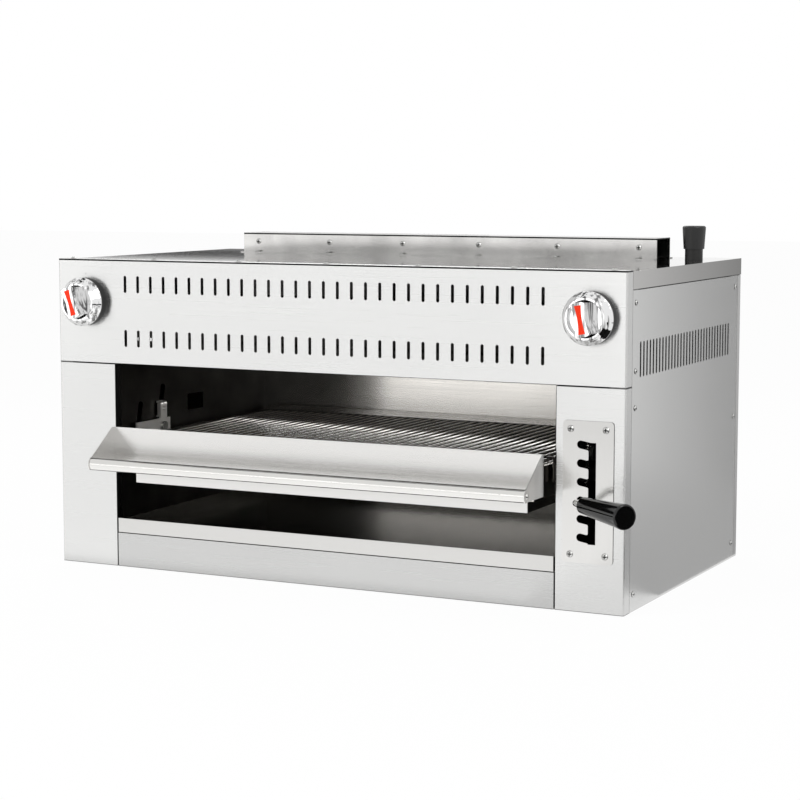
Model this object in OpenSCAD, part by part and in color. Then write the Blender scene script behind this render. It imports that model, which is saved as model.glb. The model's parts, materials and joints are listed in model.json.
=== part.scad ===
// Gas cheese melter: an overhead infrared broiler that stands on a counter. A lever in a
// notched gate raises and lowers its roll-out rack on a parallelogram of arms and ties.
// Millimetres, +Z up, the front looks along -Y. The origin is the centre of the base.

/* [Casing] */
// Width over the side panels
body_w = 914; // [760:1:1220]
// Depth from the front skins to the back panel
body_d = 502; // [460:1:620]
// Height to the top of the control panel
body_h = 464; // [440:1:560]
// Thickness of the outer skins
skin = 1.5; // [1:0.1:2]
// Thickness of the inner liners
liner = 1.2; // [0.8:0.1:1.6]
// Thickness of the base pan and the corner posts
frame_t = 2; // [1.5:0.1:3]
// Gap between neighbouring skins
skin_gap = 0.8; // [0.4:0.1:1.5]
// Radius of the vertical bends of the skins
bend_r = 2.5; // [1.5:0.1:4]
// Depth of the side returns of the front skins
front_return = 21; // [15:0.5:30]
// Depth of the side returns of the back panel
back_return = 16; // [12:0.5:25]
// Depth of the edge flange of the top cover
cover_flange = 25; // [15:0.5:35]
// Height of the control panel
panel_h = 156; // [140:1:190]
// Spacing of the four leg holes along the width
leg_spacing_x = 780; // [560:1:860]
// Spacing of the four leg holes along the depth
leg_spacing_y = 380; // [300:1:400]
// Diameter of a leg hole
leg_hole_d = 11; // [8:0.5:14]

/* [Cavity] */
// Width of the cavity between the inner walls
cavity_w = 712; // [590:1:740]
// Depth from the front skins to the inner back wall
cavity_d = 445; // [400:1:450]
// Height of the kick panel under the crumb tray
kick_h = 51.5; // [40:0.5:60]
// Height of the burner frame above the lower edge of the control panel
burner_rise = 14; // [10:0.5:30]
// Distance from the front skins to the burners
burner_front = 76; // [70:1:120]
// Depth of a burner
burner_d = 300; // [240:1:310]
// Gap between the two burners
burner_gap = 56; // [40:1:120]
// Gap between a burner and the inner wall beside it
burner_side_gap = 28; // [20:1:60]

/* [Vents] */
// Number of slots in each row
vent_count = 31; // [15:1:41]
// Pitch of the front slots
vent_pitch = 22.45; // [14:0.05:23]
// Width of a front slot
vent_w = 4.8; // [3:0.1:7]
// Height of a front slot
vent_h = 25.5; // [15:0.5:35]
// Distance from the top to the middle of the upper row
vent_top_z = 36.8; // [25:0.1:45]
// Distance from the top to the middle of the lower row
vent_low_z = 117.6; // [100:0.1:125]
// Pitch of the side slots
side_vent_pitch = 12.9; // [8:0.1:13.5]
// Width of a side slot
side_vent_w = 5.6; // [3:0.1:6]
// Height of a side slot
side_vent_h = 48.5; // [30:0.5:70]
// Distance from the front to the first side slot
side_vent_y = 54; // [45:1:70]
// Distance from the top to the middle of the side slots
side_vent_top = 121.5; // [80:0.5:150]

/* [Knobs] */
// Distance of the knobs from the top
knob_top = 64; // [55:1:85]
// Diameter of the knob skirt
knob_d = 73; // [50:1:76]
// Turn of the left knob from its off mark
knob_left_turn = 18; // [0:1:170]
// Turn of the right knob from its off mark
knob_right_turn = 10; // [0:1:170]

/* [Lift] */
// Distance of the torsion shaft from the back panel
shaft_back = 29; // [25:1:45]
// Height of the torsion shaft
shaft_z = 160; // [140:1:180]
// Diameter of the torsion shaft
shaft_d = 16; // [12:0.5:20]
// Distance from the front to the lift pins
pin_front = 117; // [100:1:140]
// Height of the lift pins at rest
pin_z = 202; // [190:1:210]
// Diameter of the pins and studs of the linkage
pin_d = 10; // [8:0.5:12]
// How far forward of the arms the tie links lie
tie_forward = 62; // [50:1:70]
// How far below the arms the tie links lie
tie_down = 22; // [16:1:26]
// Width of a lift arm
arm_w = 22; // [18:1:26]
// Width of a tie link
tie_w = 20; // [16:1:22]

/* [Gate] */
// Distance of the gate plate from the middle of its column, to the left
gate_left = 2.1; // [0:0.1:4]
// Distance of the lever channel from the middle of the gate plate, to the right
channel_right = 5.9; // [4:0.1:8]
// Diameter of the lever rod
rod_d = 9; // [7:0.1:10]
// Width of the channel and of the notches
gate_slot = 11; // [10:0.1:13]
// Reach of each notch to the left of the channel
notch_reach = 16.4; // [12:0.1:18]
// Slope of each notch in degrees
notch_slope = 10; // [5:0.5:15]
// Radius of the corners of the teeth between the notches
tooth_r = 2; // [0.5:0.1:2.5]
// Pitch of the notches
notch_pitch = 25.32; // [18:0.01:26]
// Number of notches
notch_count = 6; // [4:1:6]
// The notch beside which the lever rests
rest_notch = 4; // [2:1:5]
// Height of the channel beside the top notch
top_notch_z = 226.5; // [200:0.5:235]

/* [Lever] */
// Distance from the gate to the lever hinge
hinge_back = 190; // [150:1:200]
// Rise of the lever rod in degrees
rod_rise = 8.5; // [4:0.5:10]
// Length of the rod in front of the gate
rod_front = 62.5; // [40:0.5:80]
// Direction of the grip, to the right of straight forward
grip_turn = 52; // [0:1:60]
// Distance from the elbow to the end of the grip
grip_reach = 127; // [90:1:140]

/* [Rack] */
// Pitch of the grid rods
rod_pitch = 15.7; // [12:0.1:20]
// Diameter of a grid rod
grid_rod_d = 6; // [4:0.1:7]
// Height of the top of the grid
grid_top = 197; // [194:0.5:199]
// Height of the lower and upper edge of the rack front
rack_front_z = [158, 215]; // [150:1:225]
// Distance of the rack front ahead of the casing
rack_ahead = 20; // [15:1:30]
// Diameter of the handle tube
tube_d = 18; // [14:0.5:22]
// Distance of the handle tube ahead of the casing
tube_ahead = 77; // [60:1:90]
// Height of the middle of the handle tube
tube_z = 166; // [164:0.5:170]
// Height of the bottom of the drip pan
pan_z = 131; // [124:1:134]

/* [Flue and gas inlet] */
// How far the flue riser reaches past each side of the cavity
flue_over = 4.5; // [-60:0.5:12]
// Depth of the flue riser
flue_d = 61; // [40:1:70]
// Height of the flue riser above the top cover
flue_h = 32; // [20:1:60]
// Distance from the flue riser to the back panel
flue_back = 54; // [45:1:60]
// Distance of the gas inlet from the middle
inlet_x = 412; // [380:0.5:420]
// Distance of the gas inlet from the back panel
inlet_back = 94; // [60:1:120]
// Outer diameter of the gas pipe
pipe_d = 26.7; // [21:0.1:34]

/* [Hidden] */
$fn = 48;

// Planes of the casing
front_y = -body_d / 2;
back_y = body_d / 2;
side_x = body_w / 2;
wall_x = cavity_w / 2;
column_x = (side_x + wall_x) / 2;
knob_x = column_x;
panel_z = body_h - panel_h;
cover_z = body_h - skin;
burner_z = panel_z + burner_rise;
back_wall_y = front_y + cavity_d;
floor_z = kick_h + liner;
inside_w = body_w - 2 * skin;
eps = 0.5;

// Corner posts: an angle with one leg behind the front or back skin
post_x = 22;
post_y = 45;
pan_flange = 25;

// Screw heads
screw_r = 4.2;
screw_h = 2.2;
shank_r = 2;
shank_hole_r = 2.1;
shank_l = 8;

// Side screws: distances from the front, and heights
side_screw_front = 34.5;
side_screw_back = 29;
side_screw_heights = [24, 278, 328, 420];
back_screw_heights = [24, 221.4, 420];
top_screw_pitch = 145.2;
top_screw_count = 7;
top_screw_y = front_y + 9;

// Lift linkage, as points (Y, Z) in the plane of the side walls
shaft_p = [back_y - shaft_back, shaft_z];
pin_a = [front_y + pin_front, pin_z];
tie_offset = [-tie_forward, -tie_down];
stud_p = shaft_p + tie_offset;
pin_b = pin_a + tie_offset;
link_v = pin_a - shaft_p;
link_l = norm(link_v);
link_angle = atan2(link_v[1], link_v[0]);

// Gate and the rod through it
gate_y = front_y - skin / 2;
mouth_z = [for (i = [0 : notch_count - 1]) top_notch_z - i * notch_pitch];
rest_z = mouth_z[rest_notch - 1];
slot_end_room = 1.5;
gate_plate_t = 1.5;
gate_plate_w = 73;
gate_plate_r = 5;
gate_plate_x = column_x - gate_left;
lever_x = gate_plate_x + channel_right;
gate_margin_z = 30;
gate_screw_in = 11.2;
gate_plate_z = [mouth_z[notch_count - 1] - gate_margin_z - 2, top_notch_z + gate_margin_z + 5];

// Angle of the lift that brings the rod to height z at the gate
gate_run = shaft_p[0] - gate_y;
rod_offset = (rest_z - shaft_z) * cos(rod_rise) - gate_run * sin(rod_rise);
function lift_angle(z) =
    atan2(-gate_run, z - shaft_z) + acos(rod_offset / norm([z - shaft_z, gate_run])) - rod_rise;
lift_up = lift_angle(mouth_z[0]);
lift_down = -lift_angle(mouth_z[notch_count - 1]);

// Planes across the column, as distances from the middle
hanger_x = wall_x - 9;
hanger_t = 3;
arm_x = wall_x + 6;
arm_t = 4;
tie_x = arm_x + arm_t + 2;
tie_t = 3;
clip_t = 1.2;
clip_r = 8;
bearing_flange = 3;
bearing_r = 12;
run_fit = 0.05;
open_fit = 0.5;
arc_slot_w = pin_d + 3;

// Springs
spring_y = shaft_p[0] - 162;
spring_x = tie_x + 6;
spring_r = 6.5;
spring_wire_r = 1.2;
spring_stud_r = 3.5;
spring_stud_l = 9;
spring_top_z = burner_z - 14;
spring_low_z = shaft_z + link_v[1] * (spring_y - shaft_p[0]) / link_v[0];

// Rack, pan and tray
bar_x = wall_x - 18;
bar_t = 3;
runner_x = bar_x - 7;
rail_x = wall_x - 11;
rail_t = 2;
rail_z = 172;
rack_y = [front_y - rack_ahead + skin, back_wall_y - 16];
lip_z = 149.5;
pan_w = 2 * runner_x - 26;
pan_h = 22;
pan_y = [front_y - 5, rack_y[1] - 16];
tray_h = 20;
slide_gap = 0.3;
tray_gap = 1.5;

// Gas parts
burner_x = (wall_x - burner_side_gap + burner_gap / 2) / 2;
burner_w = wall_x - burner_side_gap - burner_gap / 2;
burner_y = [front_y + burner_front, front_y + burner_front + burner_d];
plenum_h = 29;
mixer_z = burner_z + 54;
mixer_r = 18;
manifold_y = front_y + 70;
knob_z = body_h - knob_top;
pipe_wall = 2.9;
inlet_p = [inlet_x, back_y - inlet_back];

// ---------------------------------------------------------------- shared shapes

// Outline in (Y, Z), extruded from x over the thickness t towards +X
module slab_x(x, t) {
    translate([x, 0, 0]) rotate([90, 0, 90]) linear_extrude(t) children();
}

// Outline in (X, Z), extruded from y over the thickness t towards +Y
module slab_y(y, t) {
    translate([0, y + t, 0]) rotate([90, 0, 0]) linear_extrude(t) children();
}

// A box from its lowest to its highest corner
module block(low, high) {
    translate(low) cube(high - low);
}

module both_sides() {
    children();
    mirror([1, 0, 0]) children();
}

module rounded_2d(w, h, r) {
    square([w - 2 * r, h], center = true);
    square([w, h - 2 * r], center = true);
    for (x = [-1, 1], y = [-1, 1])
        translate([x * (w / 2 - r), y * (h / 2 - r)]) circle(r);
}

// Upright slot with round ends
module slot_2d(w, h) {
    square([w, h - w], center = true);
    for (s = [-1, 1]) translate([0, s * (h - w) / 2]) circle(d = w);
}

// Bar with round ends from point p to point q
module link_2d(p, q, w) {
    translate(p) rotate(atan2(q[1] - p[1], q[0] - p[0]))
        translate([0, -w / 2]) square([norm(q - p), w]);
    translate(p) circle(d = w);
    translate(q) circle(d = w);
}

// Curved slot round the point c, from angle a0 to a1
module arc_slot_2d(c, r, a0, a1, w) {
    reach = r + w;
    translate(c) {
        intersection() {
            difference() {
                circle(r + w / 2, $fn = 180);
                circle(r - w / 2, $fn = 180);
            }
            polygon([[0, 0], reach * [cos(a0), sin(a0)], reach * [cos(a1), sin(a1)]]);
        }
        for (a = [a0, a1]) rotate(a) translate([r, 0]) circle(d = w);
    }
}

// Plan of a sheet with two side returns. The face lies at y = 0, the returns reach y = d.
module u_plan_2d(w, d, t) {
    difference() {
        union() {
            translate([-w / 2, bend_r]) square([w, d - bend_r]);
            translate([-w / 2 + bend_r, 0]) square([w - 2 * bend_r, bend_r + eps]);
            for (s = [-1, 1]) translate([s * (w / 2 - bend_r), bend_r]) circle(bend_r);
        }
        translate([-w / 2 + t, t]) square([w - 2 * t, d]);
    }
}

// Domed screw head standing out along +Z, with a shank below it where l is over 0
module screw(r = screw_r, h = screw_h, l = shank_l) {
    dome_r = (r * r + h * h) / (2 * h);
    intersection() {
        translate([0, 0, h - dome_r]) sphere(dome_r);
        cylinder(r = r, h = h);
    }
    if (l > 0) translate([0, 0, -l]) cylinder(r = shank_r, h = l);
}

// Round rod along a chain of points, with ball joints at its bends
module rod_path(points, r) {
    for (i = [0 : len(points) - 2]) {
        run = points[i + 1] - points[i];
        translate(points[i])
            rotate([0, acos(run[2] / norm(run)), atan2(run[1], run[0])])
                cylinder(r = r, h = norm(run));
        if (i > 0) translate(points[i]) sphere(r);
    }
}

module cylinder_x(x, t, r) {
    translate([x, 0, 0]) rotate([0, 90, 0]) cylinder(r = r, h = t);
}

// ---------------------------------------------------------------- casing

module base_pan() {
    w = inside_w;
    y0 = front_y + skin;
    y1 = back_y - skin;
    color("lightgray") difference() {
        union() {
            block([-w / 2, y0, 0], [w / 2, y1, frame_t]);
            both_sides() block([w / 2 - frame_t, y0 + post_y, frame_t - eps],
                [w / 2, y1 - post_y, pan_flange]);
            block([-wall_x + 1, y0, frame_t - eps], [wall_x - 1, y0 + frame_t, pan_flange]);
            block([post_x - w / 2, y1 - frame_t, frame_t - eps],
                [w / 2 - post_x, y1, pan_flange]);
        }
        for (x = [-1, 1], y = [-1, 1])
            translate([x * leg_spacing_x / 2, y * leg_spacing_y / 2, -eps])
                cylinder(d = leg_hole_d, h = frame_t + 2 * eps);
    }
}

module corner_post() {
    x1 = inside_w / 2;
    y0 = front_y + skin;
    top = cover_z - skin;
    difference() {
        union() {
            block([x1 - post_x, y0, frame_t], [x1, y0 + frame_t, top]);
            block([x1 - frame_t, y0, frame_t], [x1, y0 + post_y, top]);
        }
        children();
    }
}

// Holes for the screws of one side panel, along +X
module side_screw_places() {
    for (z = side_screw_heights) translate([side_x, front_y + side_screw_front, z])
        rotate([0, 90, 0]) children();
    for (z = back_screw_heights) translate([side_x, back_y - side_screw_back, z])
        rotate([0, 90, 0]) children();
}

module side_screw_holes() {
    side_screw_places() translate([0, 0, -shank_l]) cylinder(r = shank_hole_r, h = 2 * shank_l);
}

module corner_posts() {
    color("silver") both_sides() {
        corner_post() side_screw_holes();
        mirror([0, 1, 0]) corner_post() mirror([0, 1, 0]) side_screw_holes();
    }
}

module side_panel() {
    y0 = front_y + front_return + skin_gap;
    y1 = back_y - back_return - skin_gap;
    top = cover_z - cover_flange - skin_gap;
    color("darkgray") difference() {
        block([side_x - skin, y0, 0], [side_x, y1, top]);
        slab_x(side_x - 2 * skin, 3 * skin)
            for (i = [0 : vent_count - 1])
                translate([front_y + side_vent_y + i * side_vent_pitch, body_h - side_vent_top])
                    slot_2d(side_vent_w, side_vent_h);
        side_screw_holes();
    }
}

module side_panel_right() { side_panel(); }
module side_panel_left() { mirror([1, 0, 0]) side_panel(); }

module back_panel() {
    top = cover_z - cover_flange - skin_gap;
    color("silver") translate([0, back_y, 0]) mirror([0, 1, 0])
        linear_extrude(top) u_plan_2d(body_w, back_return, skin);
}

module top_screw_places() {
    for (i = [0 : top_screw_count - 1])
        translate([(i - (top_screw_count - 1) / 2) * top_screw_pitch, top_screw_y, body_h])
            children();
}

module top_cover() {
    y0 = front_y + skin;
    y1 = front_y + front_return + skin_gap;
    duct = flue_opening();
    color("gainsboro") difference() {
        union() {
            block([-inside_w / 2, y0, cover_z - skin], [inside_w / 2, y1 + eps, cover_z]);
            block([-side_x, y1, cover_z - skin], [side_x, back_y, cover_z]);
            both_sides() block([side_x - skin, y1, cover_z - cover_flange],
                [side_x, back_y, cover_z]);
            block([-side_x, back_y - skin, cover_z - cover_flange],
                [side_x, back_y, cover_z]);
        }
        translate([0, 0, -2 * skin]) linear_extrude(body_h + 2 * skin)
            translate([duct[0], duct[1]]) square([duct[2], duct[3]]);
        translate([inlet_p[0], inlet_p[1], cover_z - 2 * skin])
            cylinder(d = pipe_d + 2, h = 3 * skin);
        top_screw_places() translate([0, 0, -shank_l]) cylinder(r = shank_hole_r, h = shank_l);
    }
}

module vent_rows_2d() {
    for (i = [0 : vent_count - 1], z = [vent_top_z, vent_low_z])
        translate([(i - (vent_count - 1) / 2) * vent_pitch, body_h - z])
            slot_2d(vent_w, vent_h);
}

module control_panel() {
    stem_hole_r = 6.5;
    mark_r = 1.4;
    mark_up = 42;
    color("whitesmoke") difference() {
        union() {
            translate([0, front_y, panel_z]) linear_extrude(panel_h)
                u_plan_2d(body_w, front_return, skin);
            block([-inside_w / 2 - eps, front_y + skin - eps, cover_z],
                [inside_w / 2 + eps, front_y + front_return, body_h]);
            block([-wall_x, front_y + skin - eps, panel_z],
                [wall_x, front_y + 16, panel_z + skin]);
        }
        slab_y(front_y - eps, skin + 2 * eps) vent_rows_2d();
        slab_y(front_y - eps, skin + 2 * eps)
            for (s = [-1, 1]) translate([s * knob_x, knob_z]) circle(stem_hole_r);
        slab_y(front_y - eps, 1.2)
            for (s = [-1, 1]) translate([s * knob_x, knob_z + mark_up]) circle(mark_r);
        top_screw_places() translate([0, 0, -shank_l]) cylinder(r = shank_hole_r, h = 2 * shank_l);
    }
}

// Angle welded behind the panel, seen through the lower slots
module panel_stiffener() {
    y0 = front_y + skin;
    z0 = body_h - vent_low_z + 1;
    z1 = z0 + 26;
    half_w = wall_x - 11;
    color("silver") {
        block([-half_w, y0, z1 - liner], [half_w, y0 + 15, z1]);
        block([-half_w, y0 + 15 - liner, z0], [half_w, y0 + 15, z1 - liner + 0.1]);
    }
}

// Plan of a column skin: outer return, face and a shorter return beside the cavity
module column_plan_2d() {
    w = side_x - wall_x;
    inner_return = 14;
    difference() {
        translate([wall_x + w / 2, 0]) u_plan_2d(w, front_return, skin);
        translate([wall_x - eps, inner_return]) square([w / 2, front_return]);
    }
}

module column() {
    top = panel_z - skin_gap;
    difference() {
        union() {
            translate([0, front_y, 0]) linear_extrude(top) difference() {
                column_plan_2d();
                translate([wall_x - eps, skin]) square([2 * skin, front_return]);
            }
            translate([0, front_y, frame_t]) linear_extrude(top - frame_t) column_plan_2d();
        }
        children();
    }
}

module column_left() {
    color("whitesmoke") mirror([1, 0, 0]) column();
}

module column_right() {
    color("whitesmoke") column() {
        slab_y(front_y - eps, skin + 2 * eps)
            translate([gate_plate_x, (gate_plate_z[0] + gate_plate_z[1]) / 2])
                rounded_2d(gate_plate_w - 28, gate_plate_z[1] - gate_plate_z[0] - 36, 3);
        gate_screw_places() translate([0, 0, -shank_l]) cylinder(r = shank_hole_r, h = shank_l);
    }
}

module inner_wall() {
    y0 = front_y + 14.5;
    y1 = back_y - 5;
    flange_w = 13;
    window = [front_y + 200, 217];
    window_size = [46, 26];
    margin = 0.4;
    difference() {
        union() {
            block([wall_x, y0, frame_t], [wall_x + liner, y1, burner_z]);
            block([wall_x, y0, burner_z - liner], [wall_x + flange_w, y1, burner_z]);
        }
        slab_x(wall_x - 1, liner + 2) {
            for (centre = [shaft_p, stud_p])
                arc_slot_2d(centre, link_l, link_angle - lift_up - margin,
                    link_angle + lift_down + margin, arc_slot_w);
            translate(shaft_p) circle(bearing_r);
            translate(window) square(window_size);
        }
    }
}

module inner_wall_right() { color("dimgray") inner_wall(); }
module inner_wall_left() { color("dimgray") mirror([1, 0, 0]) inner_wall(); }

module inner_back_wall() {
    color("lightgray")
        block([-wall_x, back_wall_y, floor_z], [wall_x, back_wall_y + liner, burner_z]);
}

module cavity_floor() {
    y0 = front_y + skin + eps;
    color("dimgray") {
        block([-wall_x, y0, kick_h], [wall_x, back_wall_y + liner, floor_z]);
        block([-wall_x, back_wall_y, frame_t], [wall_x, back_wall_y + liner, kick_h + 0.1]);
    }
}

module kick_panel() {
    half_w = wall_x - skin_gap;
    color("whitesmoke") {
        block([-half_w, front_y, 0], [half_w, front_y + skin, kick_h]);
        block([-half_w, front_y + skin - 0.1, kick_h - skin], [half_w, front_y + 20, kick_h]);
    }
}

// ---------------------------------------------------------------- flue

flue_w = cavity_w + 2 * flue_over;
riser_y = back_y - flue_back - flue_d;
foot_w = 12;

function flue_opening() =
    [-flue_w / 2 + 14, riser_y + 10, flue_w - 28, flue_d - 20];

module riser_screw_places() {
    riser_screw_pitch = 132.9;
    riser_screw_count = 6;
    for (i = [0 : riser_screw_count - 1])
        translate([(i - (riser_screw_count - 1) / 2) * riser_screw_pitch, riser_y, cover_z])
            children();
}

module flue_riser() {
    top = cover_z + flue_h;
    rear = riser_y + flue_d;
    color("gainsboro") difference() {
        union() {
            block([-flue_w / 2, riser_y, cover_z], [flue_w / 2, rear, top]);
            block([-flue_w / 2, riser_y - foot_w, cover_z], [flue_w / 2, riser_y + eps, body_h]);
            block([-flue_w / 2, rear - eps, cover_z], [flue_w / 2, rear + foot_w, body_h]);
        }
        block([-flue_w / 2 - eps, riser_y + skin, cover_z - eps],
            [flue_w / 2 + eps, rear - skin, top - skin]);
    }
}

module flue_duct() {
    o = flue_opening();
    color("dimgray") difference() {
        block([o[0] - liner, o[1] - liner, burner_z + liner],
            [o[0] + o[2] + liner, o[1] + o[3] + liner, cover_z - skin]);
        block([o[0], o[1], burner_z], [o[0] + o[2], o[1] + o[3], cover_z]);
    }
}

// ---------------------------------------------------------------- burners and gas train

tile_rows = 3;
tile_columns = 2;
tile_t = 13;
tile_gap = 1.5;

module burner_frame() {
    rim = 8;
    o = flue_opening();
    y0 = front_y + 20;
    color("dimgray") difference() {
        union() {
            block([-wall_x - 13, y0, burner_z], [wall_x + 13, back_y - 5, burner_z + liner]);
            block([-wall_x + 2, y0, burner_z + 0.1], [wall_x - 2, y0 + liner, burner_z + 20]);
        }
        for (s = [-1, 1])
            block([s * burner_x - burner_w / 2 + rim, burner_y[0] + rim, burner_z - 1],
                [s * burner_x + burner_w / 2 - rim, burner_y[1] - rim, burner_z + 3]);
        block([o[0], o[1], burner_z - 1], [o[0] + o[2], o[1] + o[3], burner_z + 3]);
        for (s = [-1, 1]) translate([s * pilot_x, pilot_y, burner_z - 1]) cylinder(r = 7, h = 4);
    }
}

module burner(side) {
    z0 = burner_z + liner;
    z1 = z0 + plenum_h;
    x = side * burner_x;
    color("silver") difference() {
        union() {
            block([x - burner_w / 2, burner_y[0], z0], [x + burner_w / 2, burner_y[1], z1]);
            block([x - burner_w / 2 - 8, burner_y[0] - 8, z0],
                [x + burner_w / 2 + 8, burner_y[1] + 8, z0 + skin]);
        }
        block([x - burner_w / 2 + skin, burner_y[0] + skin, z0 - 1],
            [x + burner_w / 2 - skin, burner_y[1] - skin, z1 - skin]);
        translate([x, mixer_drop_y, z1 - 2 * skin]) cylinder(r = mixer_r - skin, h = 3 * skin);
    }
}

module burner_left() { burner(-1); }
module burner_right() { burner(1); }

module burner_tiles() {
    inner_w = burner_w - 2 * skin;
    inner_d = burner_y[1] - burner_y[0] - 2 * skin;
    tile_w = (inner_w - (tile_columns + 1) * tile_gap) / tile_columns;
    tile_d = (inner_d - (tile_rows + 1) * tile_gap) / tile_rows;
    z0 = burner_z + liner;
    color("peachpuff")
        for (s = [-1, 1], i = [0 : tile_columns - 1], j = [0 : tile_rows - 1])
            translate([s * burner_x - inner_w / 2 + tile_gap + i * (tile_w + tile_gap),
                burner_y[0] + skin + tile_gap + j * (tile_d + tile_gap), z0])
                cube([tile_w, tile_d, tile_t]);
}

module radiant_screens() {
    screen_pitch = 12;
    wire_r = 1.5;
    edge_t = 3;
    edge_h = 8;
    count = floor(burner_w / screen_pitch) - 1;
    color("saddlebrown") for (s = [-1, 1]) {
        for (y = [burner_y[0], burner_y[1] - edge_t])
            block([s * burner_x - burner_w / 2, y, burner_z - edge_h],
                [s * burner_x + burner_w / 2, y + edge_t, burner_z]);
        for (i = [0 : count - 1])
            translate([s * burner_x + (i - (count - 1) / 2) * screen_pitch,
                burner_y[0] + edge_t - 0.2, burner_z - edge_h + 3])
                rotate([-90, 0, 0])
                    cylinder(r = wire_r, h = burner_y[1] - burner_y[0] - 2 * edge_t + 0.4);
    }
}

mixer_front = burner_y[0] + 17;
mixer_drop_y = burner_y[1] - 85;

// Venturi tube that lies on the burner box and drops into it
module mixer_tube() {
    wall = 2;
    throat_r = 12;
    bell_r = 23;
    end_y = mixer_drop_y + mixer_r + 4;
    l = end_y - mixer_front;
    drop = mixer_z - burner_z - liner - plenum_h;
    difference() {
        union() {
            rotate([-90, 0, 0]) rotate_extrude() polygon([[0, 0], [bell_r, 0],
                [throat_r + wall, 22], [throat_r + wall, 44], [mixer_r, 110],
                [mixer_r, l], [0, l]]);
            translate([0, mixer_drop_y - mixer_front, -drop]) cylinder(r = mixer_r, h = drop);
        }
        rotate([-90, 0, 0]) rotate_extrude() polygon([[0, -1], [bell_r - wall, -1],
            [bell_r - wall, 0], [throat_r, 22], [throat_r, 44], [mixer_r - wall, 110],
            [mixer_r - wall, l - wall], [0, l - wall]]);
        translate([0, mixer_drop_y - mixer_front, -drop - 1])
            cylinder(r = mixer_r - wall, h = drop + 1);
    }
}

module mixer_tubes() {
    color("darkslategray") for (s = [-1, 1])
        translate([s * burner_x, mixer_front, mixer_z]) mixer_tube();
}

tee_y = manifold_y + 31;

module gas_manifold() {
    half_l = knob_x + 25.5;
    plug_r = 16;
    strap_x = wall_x - 106;
    color("dimgray") difference() {
        union() {
            translate([-half_l, manifold_y, knob_z]) rotate([0, 90, 0])
                cylinder(d = pipe_d, h = 2 * half_l);
            for (s = [-1, 1]) translate([s * half_l - 9, manifold_y, knob_z])
                rotate([0, 90, 0]) cylinder(r = plug_r, h = 18);
            translate([inlet_x, tee_y, knob_z]) rotate([90, 0, 0])
                cylinder(r = plug_r, h = tee_y - manifold_y);
            for (s = [-1, 1]) block([s * strap_x - 12, manifold_y - 1.5, knob_z + 10],
                [s * strap_x + 12, manifold_y + 1.5, cover_z - skin]);
        }
        translate([-half_l, manifold_y, knob_z]) rotate([0, 90, 0])
            cylinder(d = pipe_d - 2 * pipe_wall, h = 2 * half_l);
        translate([inlet_x, tee_y + 1, knob_z]) rotate([90, 0, 0])
            cylinder(d = pipe_d - 2 * pipe_wall, h = tee_y - manifold_y);
    }
}

valve_r = 12;
stem_r = 4;
outlet_y = front_y + 39;
outlet_drop = 18;
stem_inner = 36;

// Valve that seats with a saddle on the manifold
module gas_valve(side) {
    bonnet_y = front_y + 11;
    body_y = front_y + 23;
    bore_y = front_y + stem_inner + 1;
    color("goldenrod") translate([side * knob_x, 0, knob_z]) difference() {
        union() {
            translate([0, manifold_y - 6, 0]) rotate([90, 0, 0])
                cylinder(r = valve_r, h = manifold_y - 6 - body_y);
            translate([0, body_y + 1, 0]) rotate([90, 0, 0])
                cylinder(r = 8, h = body_y + 1 - bonnet_y);
            translate([0, outlet_y, -outlet_drop]) cylinder(r = 8, h = outlet_drop);
        }
        translate([0, bore_y, 0]) rotate([90, 0, 0])
            cylinder(r = stem_r + run_fit, h = bore_y - bonnet_y + 1);
        translate([-valve_r - 1, manifold_y, 0]) rotate([0, 90, 0])
            cylinder(d = pipe_d, h = 2 * valve_r + 2);
    }
}

module gas_valve_left() { gas_valve(-1); }
module gas_valve_right() { gas_valve(1); }

// Tube from each valve to the jet in front of its mixer
module orifice_lines() {
    line_y = manifold_y - 9;
    z = mixer_z;
    color("goldenrod") both_sides() {
        rod_path([[knob_x, outlet_y, knob_z - outlet_drop], [knob_x, outlet_y, z], [knob_x, line_y, z],
            [burner_x, line_y, z], [burner_x, mixer_front - 18, z]], 5);
        translate([burner_x, mixer_front - 2, z]) rotate([90, 0, 0]) cylinder(r = 8, h = 18);
        translate([burner_x, mixer_front + 4, z]) rotate([90, 0, 0]) cylinder(r = 4, h = 8);
    }
}

inlet_stub = 38;

module gas_inlet_pipe() {
    bore = pipe_d - 2 * pipe_wall;
    route = [[inlet_p[0], inlet_p[1], cover_z + inlet_stub], [inlet_p[0], inlet_p[1], knob_z],
        [inlet_p[0], tee_y, knob_z]];
    color("#1c1c1c") difference() {
        union() {
            rod_path(route, pipe_d / 2);
            translate(route[1]) sphere(pipe_d / 2 + 4);
        }
        rod_path([route[0] + [0, 0, 1], route[1], route[2] - [0, 1, 0]], bore / 2);
    }
}

// Moulded protector over the open end of the inlet pipe
module inlet_cap() {
    low_r = 15.5;
    top_r = 17.5;
    h = 34.5;
    wall_top = 13;
    edge_r = 3;
    cap_fit = 0.1;
    z0 = cover_z + inlet_stub + wall_top - h;
    color("#111111") translate([inlet_p[0], inlet_p[1], z0]) rotate_extrude() difference() {
        union() {
            polygon([[0, 0], [low_r, 0], [top_r, h - edge_r], [0, h - edge_r]]);
            square([top_r - edge_r, h]);
            translate([top_r - edge_r, h - edge_r]) intersection() {
                circle(edge_r);
                square(edge_r + 1);
            }
        }
        translate([-1, -1]) square([pipe_d / 2 + cap_fit + 1, h - wall_top + 1]);
    }
}

pilot_x = 14;
pilot_y = burner_y[0] - 12;

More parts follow.
